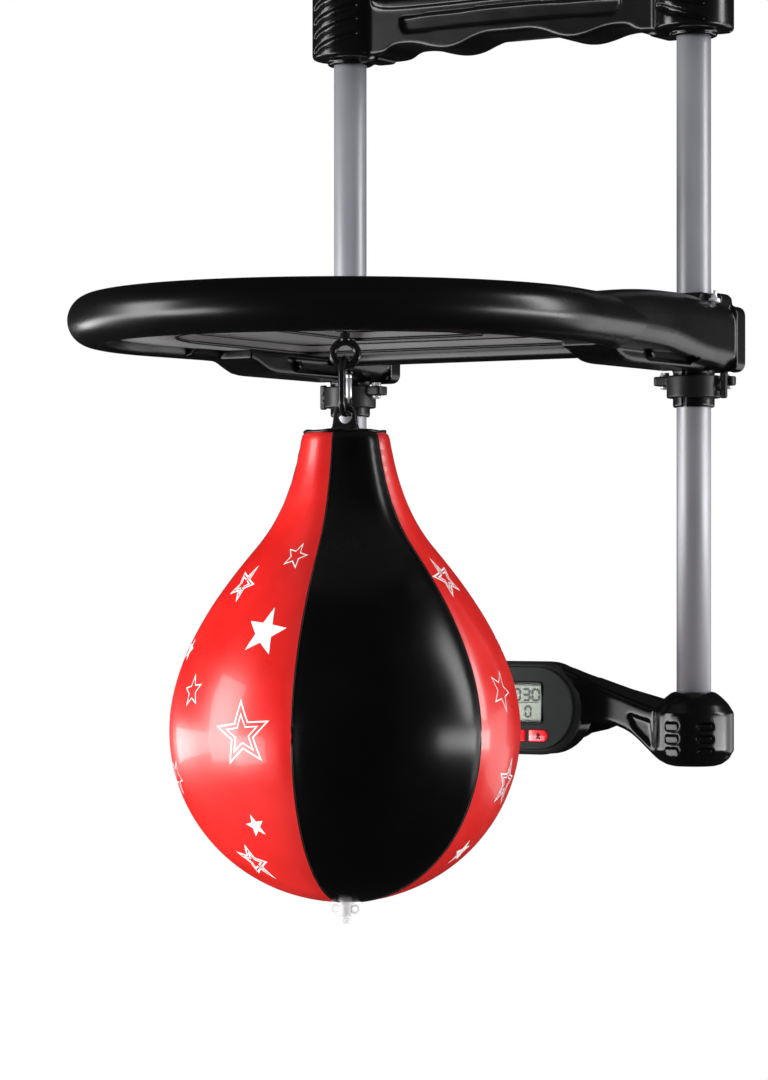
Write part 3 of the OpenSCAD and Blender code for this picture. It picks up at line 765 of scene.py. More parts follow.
def both(outline):
    """Adds the mirror image of an outline drawn for x >= 0."""
    return outline + [(-x, z) for x, z in reversed(outline) if x > 0.01]

# %% [markdown]
# The beam is a slab with a waved outline. Its long lip, the rings at the tubes' mouths and the
# lugs by them are more solids, and the channel, the slots and the tubes' seats are cutters.

# %% Mould the top crossbar
BACK = box_mm("top_back_cover")[0].y
beam_edge = curve_through([(0, -15), (18, -15), (30, -17.5), (44, -22.5), (56, -24), (68, -22.5),
                           (84, -18.6), (100, -18.4), (112, -23.5), (136, -24)], 5)
beam_top = curve_through([(136, 25), (117, 24), (108, 19.5), (92, 17.5), (40, 18), (0, 18.4)], 4)
beam = slab("beam", both(beam_edge + beam_top), top_low.y + 15.5, BACK, "y", 3.5)
lip = slab("lip", both(curve_through([(0, 11.5), (100, 11), (121, 16)], 6)
                       + curve_through([(121, 21), (100, 17), (0, 17.5)], 6)),
           top_low.y + 13.6, -20, "y", 1.4)
neck_rings = [lathe("ring", [(0, -4.6), (17, -4.6), (17.4, -3.8), (17.4, 3), (0, 3)],
                    (s * TUBE_X, TUBE_Y, -24), closed=False) for s in (-1, 1)]
lugs = [slab("lug", rounded([(s * x, z) for x, z in oblong(118, 136, -27.4, -16)][::s], 4),
             -44, -14, "y", 2) for s in (-1, 1)]
channel = slab("channel", rounded(both([(0, -7), (94, -8.5), (97, 4), (0, 6.5)]), 5),
               top_low.y + 10, top_low.y + 18.5, "y", 0)
slots = [round_slot(s, z, 5.6, 44, 0.30, 2.6) for s in (-1, 1) for z in (-13, -2, 9, 20)]
bores = [plug(s, TUBE_R + 0.4, -60, -8) for s in (-1, 1)]
top_bar = moulded("top_crossbar_moulding",
                  [housing(s, -24, 34, BACK, 3) for s in (-1, 1)]
                  + [beam, lip] + neck_rings + lugs,
                  [channel] + slots + bores, gloss_black, 1.15, 3)
settle(top_bar, "frame", "black_plastic", "top_crossbar")

# %% [markdown]
# ## The pieces that keep their CAD shape
#
# The electronics, the cells and the pins are small and mostly hidden, and their CAD shapes
# are already right. Only their finishes are set.

# %% Finish the small pieces
KEPT = (("battery_door", satin_black), ("battery_door_screw", bright_steel),
        ("circuit_board", circuit_green), ("beeper", satin_black), ("impact_sensor", brass),
        ("keypad", silicone), ("batteries", battery_wrap), ("battery_contacts", bright_steel),
        ("snap_gate_pin", bright_steel), ("eye_nut", bright_steel))
for node, finish in KEPT:
    painted(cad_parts[node], finish)
print(len(KEPT), "pieces keep their CAD shape")

# %% [markdown]
# ## The back covers
#
# A cover is a moulded plate that closes a crossbar's back. It starts from the CAD shape, which
# has all its pockets. Two knives round the low corners, so that none shows past the round
# housings, and a bevel breaks every sharp edge.

# %% Ease the covers
SHARP_TURN, FLAT_TURN = 0.8, 0.01  # radians between two faces


def eased_copy(node, name, corner, width=0.7):
    """A CAD node's shape with its low outer corners cut round and its sharp edges broken."""
    low, high = box_mm(node)
    shell = shown(name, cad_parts[node].data.copy())

    def merge(bm):
        bmesh.ops.remove_doubles(bm, verts=bm.verts, dist=SAME_POINT)

    def ease(bm):
        merge(bm)
        bmesh.ops.dissolve_limit(bm, angle_limit=FLAT_TURN, verts=bm.verts, edges=bm.edges)
        sharp = [e for e in bm.edges
                 if len(e.link_faces) == 2 and e.calc_face_angle() > SHARP_TURN]
        bmesh.ops.bevel(bm, geom=sharp, offset=width * MM, segments=2, profile=0.5,
                        affect="EDGES", clamp_overlap=True)

    edited(shell.data, merge)
    knives = []
    for side in (-1, 1):
        x, z = side * (high.x - corner), low.z + corner
        arc = [(x + side * corner * math.sin(a), z - corner * math.cos(a))
               for a in [math.pi / 2 * i / 8 for i in range(9)]]
        far = [(side * (high.x + 5), z), (side * (high.x + 5), low.z - 5), (x, low.z - 5)]
        knives.append(slab("knife", arc + far, low.y - 5, high.y + 5, "y"))
    cut_away(shell, joined("knife", knives))
    edited(shell.data, ease)
    painted(shell, satin_black)
    return shell


for node, name, corner in (("top_back_cover", "top_cover_plate", 3),
                           ("lower_back_cover", "lower_cover_plate", 11)):
    settle(eased_copy(node, name, corner), "frame", "back_plastic", node)

# %% [markdown]
# ## The foam pads
#
# Pads of dense foam keep the steel and the plastic off the door. They are die-cut: the faces
# are slightly crowned, and the sides draw in between the corners. A cloth simulation suits
# a stuffed cushion, but for a thin cut pad a rule for each point is enough. Points lie closer
# together near the edges, where the pad turns.

# %% Cut the foam pads
def foam_pad(low, high, steps=28):
    """A die-cut pad in a box: crowned faces, tight edges, sides drawn in between the corners."""
    middle, half = (low + high) / 2, (high - low) / 2
    thin = min(range(3), key=lambda i: half[i])
    wide, tall = [i for i in range(3) if i != thin]
    points, count = [], steps + 1
    for sign in (-1, 1):
        for i in range(count):
            for j in range(count):
                u, v = [math.sin((2 * k / steps - 1) * math.pi / 2) for k in (i, j)]
                edge = max(abs(u), abs(v))
                point = Vector(middle)
                corner = 1 - 0.06 * (u * v) ** 8
                point[wide] += (half[wide] - 0.5 * (1 - v * v)) * u * corner
                point[tall] += (half[tall] - 0.5 * (1 - u * u)) * v * corner
                crown = (1 - edge ** 12) ** 0.5 * (1 - 0.12 * edge ** 2)
                point[thin] += sign * half[thin] * crown
                points.append(point)
    faces = [(b + i * count + j, b + (i + 1) * count + j, b + (i + 1) * count + j + 1,
              b + i * count + j + 1) for b in (0, count * count)
             for i in range(steps) for j in range(steps)]
    return mesh_object("pad", points, faces, foam)


for node in ("door_hook_pads", "lower_door_pads"):
    pads = [foam_pad(low, high) for low, high in boxes_of(node)]
    print(node, "has", len(pads), "pads")
    pad = settle(joined("foam_" + node, pads), "frame", "foam", node)

# %% [markdown]
# ## The door hooks
#
# A door hook is flat bar bent twice, over the top of the door. Its section, a bar with rounded
# edges, is set square to the bent line at every point of it, and the sections are joined.

# %% Bend the door hooks
strap_low, strap_high = box_mm("right_door_hook")
STRAP_T = 3.0
half_strap = (strap_high.x - strap_low.x) / 2
bend_r = 6.5
top_line = strap_high.z - STRAP_T / 2
front_line, back_line = -STRAP_T / 2, strap_high.y - STRAP_T / 2
corner = [(bend_r * (1 - math.cos(a)), bend_r * (math.sin(a) - 1))
          for a in [math.pi / 2 * i / 8 for i in range(9)]]
path = [(front_line, strap_low.z)] + [(front_line + x, top_line + z) for x, z in corner]
path += [(back_line - x, top_line + z) for x, z in reversed(corner)]
path += [(back_line, 34), (back_line + 0.2, 31.5), (back_line + 0.4, 30)]
bar = rounded(oblong(-half_strap, half_strap, -STRAP_T / 2, STRAP_T / 2), 1.2, 3)
normals = [Vector((ahead[1] - back[1], -(ahead[0] - back[0]))).normalized()
           for back, ahead in zip([path[0]] + path[:-1], path[1:] + [path[-1]])]
for side, label in ((-1, "left"), (1, "right")):
    middle = side * (strap_low.x + strap_high.x) / 2
    points = [(middle + a, y + b * ny, z + b * nz)
              for (y, z), (ny, nz) in zip(path, normals) for a, b in bar]
    faces = grid_faces(len(path), len(bar)) + end_caps(len(path), len(bar))
    hook = mesh_object(label + "_bent_hook", points, faces, hook_paint)
    settle(hook, "frame", "hook_steel", label + "_door_hook")

# %% [markdown]
# ## The lower crossbar
#
# An oval pod for the counter sits in the middle, and an arm arches from it to each housing.
# The arm carries a sunk three-cornered panel by the housing.
# Like the top one it is drawn as slabs and melted together.

# %% Outline the pod and the arms
low_low, low_high = box_mm("lower_crossbar")
LOWER_BACK = low_high.y
POD_FRONT = low_low.y + 3.5
bezel_low, bezel_high = box_mm("counter_bezel")
POD_Z = (bezel_low.z + bezel_high.z) / 2
POD_R = (bezel_high.z - bezel_low.z) / 2 + 4
POD_HALF = bezel_high.x - (bezel_high.z - bezel_low.z) / 2


def pod_outline(r, flat=POD_HALF, steps=20):
    arc = [(flat + r * math.cos(a), POD_Z + r * math.sin(a))
           for a in [-math.pi / 2 + math.pi * i / steps for i in range(steps + 1)]]
    return arc + [(-x, z) for x, z in reversed(arc)]


arm_top = [(20, -490), (46, -492.5), (64, -499), (84, -508.5), (104, -516), (121, -521.5),
           (134, -523)]
arm_low = [(134, -563.5), (128, -561), (120, -554.5), (112, -547.5), (104, -541.5), (95, -537.5),
           (86, -535), (76, -534), (64, -534), (52, -536), (20, -542)]
print(f"the pod is {2 * (POD_HALF + POD_R):.0f} mm wide and {2 * POD_R:.0f} mm high")

# %% [markdown]
# A loft joins outlines that change along the way. All of them are rounded rectangles with the
# same number of points, so quads can join each to the next one.

# %% Loft through rounded rectangles
def at_x(line, x):
    """Height of a smooth outline at x."""
    for (x0, z0), (x1, z1) in zip(line, line[1:]):
        if min(x0, x1) <= x <= max(x0, x1) and x0 != x1:
            return z0 + (z1 - z0) * (x - x0) / (x1 - x0)
    return line[-1][1]


def section(a0, a1, b0, b1, r, steps=6):
    """A rounded rectangle from a0 to a1 and b0 to b1."""
    corners = [(a1 - r, b0 + r, -90), (a1 - r, b1 - r, 0), (a0 + r, b1 - r, 90),
               (a0 + r, b0 + r, 180)]
    return [(ca + r * math.cos(math.radians(start + 90 * k / steps)),
             cb + r * math.sin(math.radians(start + 90 * k / steps)))
            for ca, cb, start in corners for k in range(steps + 1)]


def loft(name, stations, along="y"):
    """A solid through rounded rectangles (h, a0, a1, b0, b1, r), one station after another."""
    place = ACROSS[along]
    rings = [[place(a, b, h) for a, b in section(a0, a1, b0, b1, r)]
             for h, a0, a1, b0, b1, r in stations]
    rows, columns = len(rings), len(rings[0])
    return mesh_object(name, [p for ring in rings for p in ring],
                       grid_faces(rows, columns) + end_caps(rows, columns))

# %% [markdown]
# Seen from above, the arm runs forward to the pod and back to the housing, so a slab can't
# make it. Four smooth lines give its top, bottom, front and back at every x, and a loft joins
# rounded rectangles between them.

# %% Set out the arms, the pod and the housings
TOP_CURVE, LOW_CURVE = curve_through(arm_top, 8), curve_through(arm_low[::-1], 8)
FRONT_CURVE = curve_through([(40, -56), (62, -56), (70, -52.5), (80, -49), (92, -47.5),
                             (110, -47.5), (134, -48)], 8)
REAR_CURVE = curve_through([(40, -33), (56, -32), (66, -27), (78, -16), (90, -7),
                            (100, LOWER_BACK), (134, LOWER_BACK)], 8)


def arm(side):
    """The arm, whose front bends back from the pod, as a loft from the pod to the housing."""
    made = []
    for k in range(33):
        x = 44 + 90 * k / 32
        made.append((side * x, at_x(FRONT_CURVE, x), at_x(REAR_CURVE, x), at_x(LOW_CURVE, x),
                     at_x(TOP_CURVE, x), 3.4))
    return loft("arm", made, "x")


POD_STEP = 12.0
parts = [slab("pod", pod_outline(POD_R - 0.3), POD_FRONT + 1.2, -32, "y", 4.4, segments=5),
         slab("pod_back", pod_outline(POD_R - POD_STEP), -40, LOWER_BACK, "y", 1.5)]
for s in (-1, 1):
    parts.append(arm(s))
    parts.append(housing(s, -556, -524, LOWER_BACK, 4))
    bowl = [(0, -565.3), (15, -565.3), (20.5, -563.8), (25, -560.6), (27.7, -556), (28.2, -551),
            (28.2, -540), (0, -540)]
    parts.append(lathe("bowl", bowl, (s * TUBE_X, TUBE_Y, 0), closed=False))
    dome = [(0, -6), (28.2, -6), (28.2, 0), (25.4, 4.6), (20.5, 9.6), (16.6, 12.6), (14.4, 13.4),
            (0, 13.4)]
    parts.append(lathe("dome", dome, (s * TUBE_X, TUBE_Y, -524), closed=False))
print("the lower crossbar melts from", len(parts), "solids")

# %% [markdown]
# The cutters sink the counter's seat, the arm's panel, the tube's seat and two columns of
# short slots in each housing. All of them go through one melt with the solids.

# %% Mould the lower crossbar
cutters = [slab("seat", pod_outline(POD_R - 3.6), POD_FRONT - 5, POD_FRONT + 2, "y", 0)]
SLAT_ROWS = [-535.5 - 9.2 * k for k in range(3)]
SLAT_COLUMNS = [-7, 44]
for s in (-1, 1):
    panel = rounded([(103, -526.5), (108, -538.5), (124, -552), (122, -532)], 2)
    panel = [(s * x, z) for x, z in panel][::s]
    cutters.append(slab("panel", panel, -60, -46.2, "y", 0))
    cutters.append(plug(s, TUBE_R + 0.5, -554, -484))
    for at in SLAT_COLUMNS:
        for z in SLAT_ROWS:
            cutters.append(round_slot(s, z, 6.2, 11.5, 0.0, 3.2, at=s * at))
lower_bar = moulded("lower_crossbar_moulding", parts, cutters, gloss_black, 1.15, 3)
settle(lower_bar, "frame", "black_plastic", "lower_crossbar")

# %% [markdown]
# A small tilted slat closes each slot, like the louvre of a vent. One slat is drawn and the
# copying tree sets it down in its column; the inner column is drawn grey as painted light and
# the outer one black. The lip round the pod is a ring whose grey is a painted highlight, the
# light on its bevel: a slab with a round rim, hollowed by a second slab.

# %% Set a slat in each slot, and the grey lip round the pod
slats = []
for s in (-1, 1):
    for at in SLAT_COLUMNS:
        bar = slab("slat", rounded(oblong(-4.6, 4.6, -2.1, 2.1), 1), -1.6, 0, "y", 0.5)
        a = math.radians(at * s)
        reach = HOUSE_R - 1.5
        places = [(s * TUBE_X + reach * math.sin(a), TUBE_Y - reach * math.cos(a), z)
                  for z in SLAT_ROWS]
        # the inner column's grey is painted light, the outer column wears the housing's black
        finish = slat_painted_light if at < 0 else gloss_black
        slats.append(copies("slats", bar, places, (24, 0, at * s), finish))
settle(joined("lower_housing_slats", slats), "frame", "back_plastic")
# the lip's grey is a painted highlight on the pod's bevel
lip = slab("counter_pod_lip", pod_outline(POD_R), POD_FRONT, POD_FRONT + 9, "y", 4.6, pod_lip_painted_highlight, 5)
cut_away(lip, slab("inside", pod_outline(POD_R - 4.4), POD_FRONT - 5, POD_FRONT + 20, "y"))
settle(lip, "frame", "bezel_plastic")

# %% [markdown]
# ## The counter
#
# The bezel is a separate plate in the pod, with a window and four keys. It is drawn as one
# outline with holes: the outline is extruded, its rim is bevelled, and the holes are cut.

# %% Outline the window and the keys
window_low, window_high = box_mm("display_window")
BEZEL_FRONT = bezel_low.y
plate = slab("bezel_plate", pod_outline(POD_R - 4), BEZEL_FRONT, BEZEL_FRONT + 2.5, "y", 0.8,
             bezel_grey)


def rectangle(low, high, grow=0.0, corner=2.0):
    return rounded(oblong(low.x - grow, high.x + grow, low.z - grow, high.z + grow), corner, 4)


KEYS = ["outer_left", "inner_left", "inner_right", "outer_right"]


def key_outline(name, grow):
    """A key's outline; the outer ones are round at their outer end."""
    low, high = box_mm(name + "_button")
    r, middle = (high.z - low.z) / 2, (high.z + low.z) / 2
    a, b = low.x - grow, high.x + grow
    bottom, top = low.z - grow, high.z + grow
    if "inner" in name:
        return rounded(oblong(a, b, bottom, top), 1.2, 3)
    turn = 1 if "right" in name else -1
    tip = b if turn > 0 else a
    heel = a if turn > 0 else b
    r += grow
    arc = [(tip - turn * r + turn * r * math.cos(t), middle + r * math.sin(t))
           for t in [-math.pi / 2 + math.pi * i / 12 for i in range(13)]]
    outline = [(heel, bottom)] + arc + [(heel, top)]
    return outline if turn > 0 else outline[::-1]


print("the keys are", [round(box_mm(k + "_button")[1].x - box_mm(k + "_button")[0].x, 1)
                       for k in KEYS], "mm wide")

# %% [markdown]
# The plate is cut like a stamped sheet: every hole is a slab a little larger than what sits in
# it, so a thin gap shows round each key. A round bead is swept round the window.

# %% Cut the bezel
holes = [slab("hole", rectangle(window_low, window_high, 0.15, 3), BEZEL_FRONT - 2,
              BEZEL_FRONT + 4, "y")]
holes += [slab("hole", key_outline(k, 0.35), BEZEL_FRONT - 2, BEZEL_FRONT + 4, "y") for k in KEYS]
cut_away(plate, joined("knife", holes))
plate.data.polygons.foreach_set("use_smooth", [False] * len(plate.data.polygons))
frame_line = [(x, BEZEL_FRONT - 0.1, z) for x, z in rectangle(window_low, window_high, 0.2, 3)]
surround = swept("window_surround", frame_line, circle(0.9, 10), gloss_black, closed=True)
settle(plate, "frame", "bezel_plastic", "counter_bezel")
settle(surround, "frame", "black_plastic")

# %% [markdown]
# A key is a cap of red plastic with a mark on it. The outer two carry double arrowheads and
# the inner two a pair of bars, which are thin slabs set just proud of the cap.

# %% Press the keys
PROUD, SUNK = 0.12, 0.5
for key in KEYS:
    low, high = box_mm(key + "_button")
    cap = slab(key + "_key", key_outline(key, 0), low.y, high.y, "y", 0.9, button_red)
    x, z = (low.x + high.x) / 2, (low.z + high.z) / 2
    if "inner" in key:
        shapes = [rounded(oblong(x - 2.4 + k * 3.2, x - 0.8 + k * 3.2, z - 2.2, z + 2.2), 0.4, 2)
                  for k in (0, 1)]
    else:
        shapes = [[(x - 2.3, z - 2.2 + k), (x + 2.3, z - 2.2 + k), (x, z + 0.4 + k)]
                  for k in (0, 2.2)]
    mark = [slab("mark", shape, low.y - PROUD, low.y + SUNK, "y", 0, icon_dark)
            for shape in shapes]
    settle(joined(key + "_key", [cap] + mark), key + "_key", "button_red", key + "_button")

# %% [markdown]
# ## The display
#
# A segment display shows dark bars on a grey-green ground. Each digit is up to seven bars,
# so one function draws any digit, and a thin rule parts the two rows of figures.

# %% Draw a digit
SEGMENTS = {"0": "abcdef", "3": "abgcd"}


def digit(figure, x, z, w, h, t, y):
    """Bars of one seven-segment figure, its lower left corner at x, z."""
    bars = {"a": (0, h, 1), "d": (0, 0, 1), "g": (0, h / 2, 1), "f": (0, h / 2, 0),
            "b": (w, h / 2, 0), "e": (0, 0, 0), "c": (w, 0, 0)}
    made = []
    for name in SEGMENTS[figure]:
        u, v, flat = bars[name]
        length, gap = (w if flat else h / 2), t * 0.06
        a, b = gap, length - gap
        line = [(a, 0), (a + t / 2, t / 2), (b - t / 2, t / 2), (b, 0), (b - t / 2, -t / 2),
                (a + t / 2, -t / 2)]
        line = line if flat else [(q, p) for p, q in line]
        made.append(slab("bar", [(x + u + p, z + v + q) for p, q in line], y, y + 0.3, "y",
                         0, digit_dark, smooth=False))
    return made


print("a nought lights", len(SEGMENTS["0"]), "bars")

# %% [markdown]
# The figures are dark slabs a hair's breadth in front of the display's ground. They belong to
# the display, so all of it is joined to one piece, and the window is a clear slab before it.

# %% Light the display
module_low, module_high = box_mm("display_module")
ground = slab("display_ground", rectangle(module_low, module_high, 0, 1), module_low.y,
              module_high.y, "y", 0.3, display_grey)
face_y = module_low.y - 0.25
mid_z = (module_low.z + module_high.z) / 2
bars = [slab("rule", oblong(module_low.x + 2, module_high.x - 2, mid_z - 0.2, mid_z + 0.2),
             face_y, face_y + 0.3, "y", 0, digit_dark)]
right_edge = module_high.x - 1.2
for i, figure in enumerate("0030"):
    bars += digit(figure, right_edge - 30.3 + 8.1 * i, mid_z + 1.8, 5.6, 8.2, 1.9, face_y)
bars += digit("0", right_edge - 12.2, mid_z - 10.4, 4.6, 7.6, 1.7, face_y)
display = joined("display_figures", [ground] + bars)
settle(display, "frame", "display", "display_module")
glass = slab("display_glass", rectangle(window_low, window_high, 0, 3), window_low.y,
             window_high.y, "y", 0.25, window_clear)
settle(glass, "frame", "window_clear", "display_window")

# %% [markdown]
# ## The rebound board
#
# Its outline is a rule: a round front about the bag's hanging point, straight sides, and two
# round ends at the tubes. The rim is one profile carried round that outline by the sweep
# tree, so the fat rounded edge is even all the way. The top is a flat lid inside the rim.

# %% Work out the outline
def outline_of(r, end_r, end_y, steps=120):
    """Points and outward normals of the board's outline, counter-clockwise from the right."""
    dx, dy = TUBE_X, end_y - PIVOT_Y
    lean = math.atan2(dy, dx) - math.acos((r - end_r) / math.hypot(dx, dy))
    made = []
    sweep = math.pi + 2 * lean
    for i in range(steps + 1):
        a = lean - sweep * i / steps
        made.append(((r * math.cos(a), PIVOT_Y + r * math.sin(a)), (math.cos(a), math.sin(a))))
    for side, first, last in ((-1, math.pi - lean, math.pi / 2), (1, math.pi / 2, lean)):
        for i in range(13):
            a = first + (last - first) * i / 12
            made.append(((side * TUBE_X + end_r * math.cos(a), end_y + end_r * math.sin(a)),
                         (math.cos(a), math.sin(a))))
    return made[::-1]


END_R, END_Y = 28.0, shell_high.y - 28.0
board_line = outline_of(BOARD_R, END_R, END_Y)
print("the outline has", len(board_line), "points")

# %% [markdown]
# The rim's profile is a half circle outside and a small lip inside, which leaves a shadow line
# round the lid. It is drawn relative to the outline, and the sweep carries it round.

# %% Sweep the rim and lay the lid
rim_top = RIM_Z + RIM_R
arc = [(-RIM_R + RIM_R * math.cos(a), -RIM_R * math.sin(a))
       for a in [math.pi / 2 - math.pi * i / 22 for i in range(23)]]
lip_profile = [(-RIM_R - 6, -RIM_R), (-RIM_R - 2, -RIM_R)] + [(x, -y) for x, y in arc] + [
    (-RIM_R - 3, RIM_R), (-RIM_R - 5.2, RIM_R - 0.5), (-RIM_R - 6.8, RIM_R - 1.9),
    (-RIM_R - 7.6, RIM_R - 4), (-RIM_R - 8, RIM_R - 10), (-RIM_R - 8, -RIM_R + 4)]
rim = swept("board_rim", [(x, y, RIM_Z) for (x, y), n in board_line], lip_profile, board_black,
            closed=True)
lid_line = [(x - n[0] * (RIM_R + 1), y - n[1] * (RIM_R + 1)) for (x, y), n in board_line]
lid = slab("board_lid", lid_line, rim_top - 4, rim_top, "z", 0, board_black, smooth=False)
board = joined("rebound_board_shell", [rim, lid])
settle(board, "board", "black_plastic", "board_shell")

# %% [markdown]
# ## The underside panel
#
# Two steps rise into the board around the hanging point. Seen from the pivot, every edge is
# a radius that depends on the angle, so the panel is a stack of rings: each ring is an edge
# of the steps, and the rings are bridged with quads. A short slope rounds every edge.

# %% A round front with straight sides
def dee(angle, r, side, rear):
    """Radius of a round front with straight sides back to two corners, at an angle."""
    x, y = math.cos(angle), math.sin(angle)
    if y <= 0:
        return r
    to_rear = rear / y
    slope = (side - r) / rear
    to_side = r / (abs(x) - slope * y) if abs(x) > slope * y else 1e9
    return min(to_rear, to_side)


def soft_dee(angle, r, side, rear, spread=0.05):
    """The same radius with its corners eased, as the mean of its neighbours."""
    around = [dee(angle + spread * k / 3, r, side, rear) for k in range(-3, 4)]
    return sum(around) / len(around)


print(f"straight ahead the inner step is {dee(-math.pi / 2, 48, 56, 100):.0f} mm away")

# %% [markdown]
# Each entry in the list of edges gives the three measures of a ring and how far it has risen.
# Thin round beads of the board's black run along the four edges and catch the light, as the
# radius of a mould does; they read dark against the panel's painted light.

# %% Ring by ring from the rim to the eye
PANEL_Z, STEP = box_mm("board_underside")[0].z, 6.0
RINGS = 360
angles = around(RINGS)
OUTER_STEP, OUTER_FOOT = (118.6, 124.6, 138.6), (113, 119, 133)
INNER_STEP, INNER_FOOT = (48.6, 56.6, 100.6), (44, 52, 96)
PANEL_EDGE, EYE_HOLE, BACK = (162, 152, 186), (3.7, 3.7, 3.7), 2 * STEP + 2.5
edges = [(PANEL_EDGE, 0), ((119.4, 125.4, 139.4), 0), (OUTER_STEP, 0.3), ((118, 124, 138), 1.2),
         ((114, 120, 134), STEP - 1), (OUTER_FOOT, STEP - 0.2), ((111.5, 117.5, 131.5), STEP),
         ((49.4, 57.4, 101.4), STEP), (INNER_STEP, STEP + 0.3), ((48, 56, 100), STEP + 1.2),
         ((45, 53, 97), 2 * STEP - 1), (INNER_FOOT, 2 * STEP - 0.2), ((42.5, 50.5, 94.5), 2 * STEP),
         (EYE_HOLE, 2 * STEP), (EYE_HOLE, BACK), (PANEL_EDGE, BACK)]
points = []
for (r, side, rear), rise in edges:
    for a in angles:
        reach = soft_dee(a, r, side, rear) if r > 5 else r
        points.append((reach * math.cos(a), PIVOT_Y + reach * math.sin(a), PANEL_Z + rise))
faces = grid_faces(len(edges), RINGS) + closing_faces(len(edges), RINGS)
# the panel's grey is painted light, the floor's light on black plastic
underside = mesh_object("board_stepped_underside", points, faces, underside_painted_light)
settle(underside, "board", "black_plastic", "board_underside")
step_lines = []
for (r, side, rear), z in ((OUTER_STEP, 0), (OUTER_FOOT, STEP), (INNER_STEP, STEP),
                           (INNER_FOOT, 2 * STEP)):
    line = [(soft_dee(a, r, side, rear) * math.cos(a),
             PIVOT_Y + soft_dee(a, r, side, rear) * math.sin(a), PANEL_Z + z) for a in angles[::2]]
    step_lines.append(swept("edge", line, circle(1.2, 8), board_black, closed=True))
settle(joined("underside_step_edges", step_lines), "board", "black_plastic")

# %% [markdown]
# ## The brackets
#
# A bracket flows out of the board's rim and grows into a block around its tube. Its cross
# section changes along the way, so it is lofted: a rounded rectangle at each station, whose
# top, bottom and corner radius follow smooth lines. The gusset under the board is a second
# loft with a long pocket in each side.

# %% Set out the bracket's stations
GUSSET_W = 19.0


def crossed(side, stations):
    """Stations drawn for the right bracket, relative to its tube, set on either side."""
    made = []
    for y, x0, x1, z0, z1, r in stations:
        a, b = sorted((side * (TUBE_X + x0), side * (TUBE_X + x1)))
        made.append((y, a, b, z0, z1, r))
    return made


FLOW = [(-230, 4.4, 39.6, -265, -229.3, 17), (-214, 3.4, 38.4, -265, -227.8, 17),
        (-196, 2.3, 37.3, -265.2, -226, 17), (-176, 1.2, 36.2, -265.4, -224.2, 17),
        (-156, 0.4, 35.4, -265.8, -222.8, 17), (-138, -1, 34.1, -266.2, -221.8, 17),
        (-120, -3, 32.6, -267, -221.2, 16.8), (-102, -8, 31, -268.8, -220.8, 16.5),
        (-84, -24, 29.4, -270.8, -220.4, 16), (-66, -26.6, 28, -272.6, -221.2, 15.4),
        (-48, -26.6, 27, -273.6, -222.6, 15), (-30, -26.6, 26.8, -274, -224, 14.4),
        (-12, -26.4, 26.4, -274, -226, 13.5)]
LUG = [(-53, -6, 21, -240, -227, 2.5), (-50.5, -6, 21.5, -240, -220.5, 3.5),
       (-47, -6, 22, -240, -217.4, 4), (-16, -6, 22, -240, -217.4, 4),
       (-12.6, -6, 22, -240, -219, 3.5), (-11.4, -5, 21, -240, -222, 3)]
PLATE = [(-17, -27, 27, -274, -227, 6), (-15.8, -27.8, 27.8, -274.9, -226.2, 6.5),
         (-2.6, -27.8, 27.8, -274.9, -226.2, 6.5), (-1.1, -26.4, 26.4, -273.2, -227.4, 6)]
GUSSET = [(y, -GUSSET_W, GUSSET_W, z, -258, r) for y, z, r in (
    (-197, -264.8, 1.4), (-190, -266.8, 2.4), (-180, -271, 3), (-172, -273.8, 3.5),
    (-163, -274.8, 3.5), (-156, -275, 3.5), (-50, -275, 3.5))]
print("the bracket runs through", len(FLOW), "stations")

# %% [markdown]
# Four lofts and a sleeve make one bracket, and the left one mirrors the right one. The bore,
# the slit of the sleeve, the pockets and the notch beside the stud are cut before the melt.

# %% Melt the brackets
POCKET = rounded([(-151, -261), (-139, -271.4), (-70, -271.4), (-66, -261)], 3.6, 4)
for side, label in ((-1, "left"), (1, "right")):
    c = side * TUBE_X
    solids = [loft("part", crossed(side, one)) for one in (FLOW, LUG, PLATE, GUSSET)]
    solids.append(lathe("sleeve", [(0, -26.4), (14.9, -26.4), (15.4, -25.9), (15.4, 3), (0, 3)],
                        (c, TUBE_Y, -275), closed=False))
    cutters = [slab("pocket", POCKET, x - 4.2, x + 4.2, "x", 0)
               for x in (c - GUSSET_W, c + GUSSET_W)]
    cutters.append(plug(side, 13.1, -320, -200))
    cutters.append(slab("slit", oblong(c - 1.2, c + 1.2, TUBE_Y - 20, TUBE_Y), -303, -275.5, "z"))
    notch = rounded(oblong(14.6, 27, -58, -31), 2)
    cutters.append(slab("notch", [(c + side * x, y) for x, y in notch][::side], -224.4, -205, "z"))
    block = moulded("block", solids, cutters, board_black, 1.05, 4)
    posts = [slab("post", [(-130 + x, -266.6 + z) for x, z in circle(3.4, 20)],
                  c + s * (GUSSET_W - 5), c + s * (GUSSET_W - 0.8), "x", 0, board_black)
             for s in (-1, 1)]
    bracket = joined(label + "_bracket_moulding", [block] + posts)
    settle(bracket, "board", "black_plastic", label + "_bracket")

# %% [markdown]
# ## Clamps, knobs and the screws that hold them
#
# Under each bracket a split sleeve grips the tube. A half band with two ears closes it, and a
# thumb screw on the outside tightens it. The band is a melted moulding; the thumb screw's wing
# is a slab with round ends on a turned boss.

# %% Mould the clamp bands and knobs
KNOB_Z = -285.5


def outward(side, near, far):
    """From near to far on the outer side of a tube, the lower x first."""
    return sorted((side * TUBE_X + side * near, side * TUBE_X + side * far))


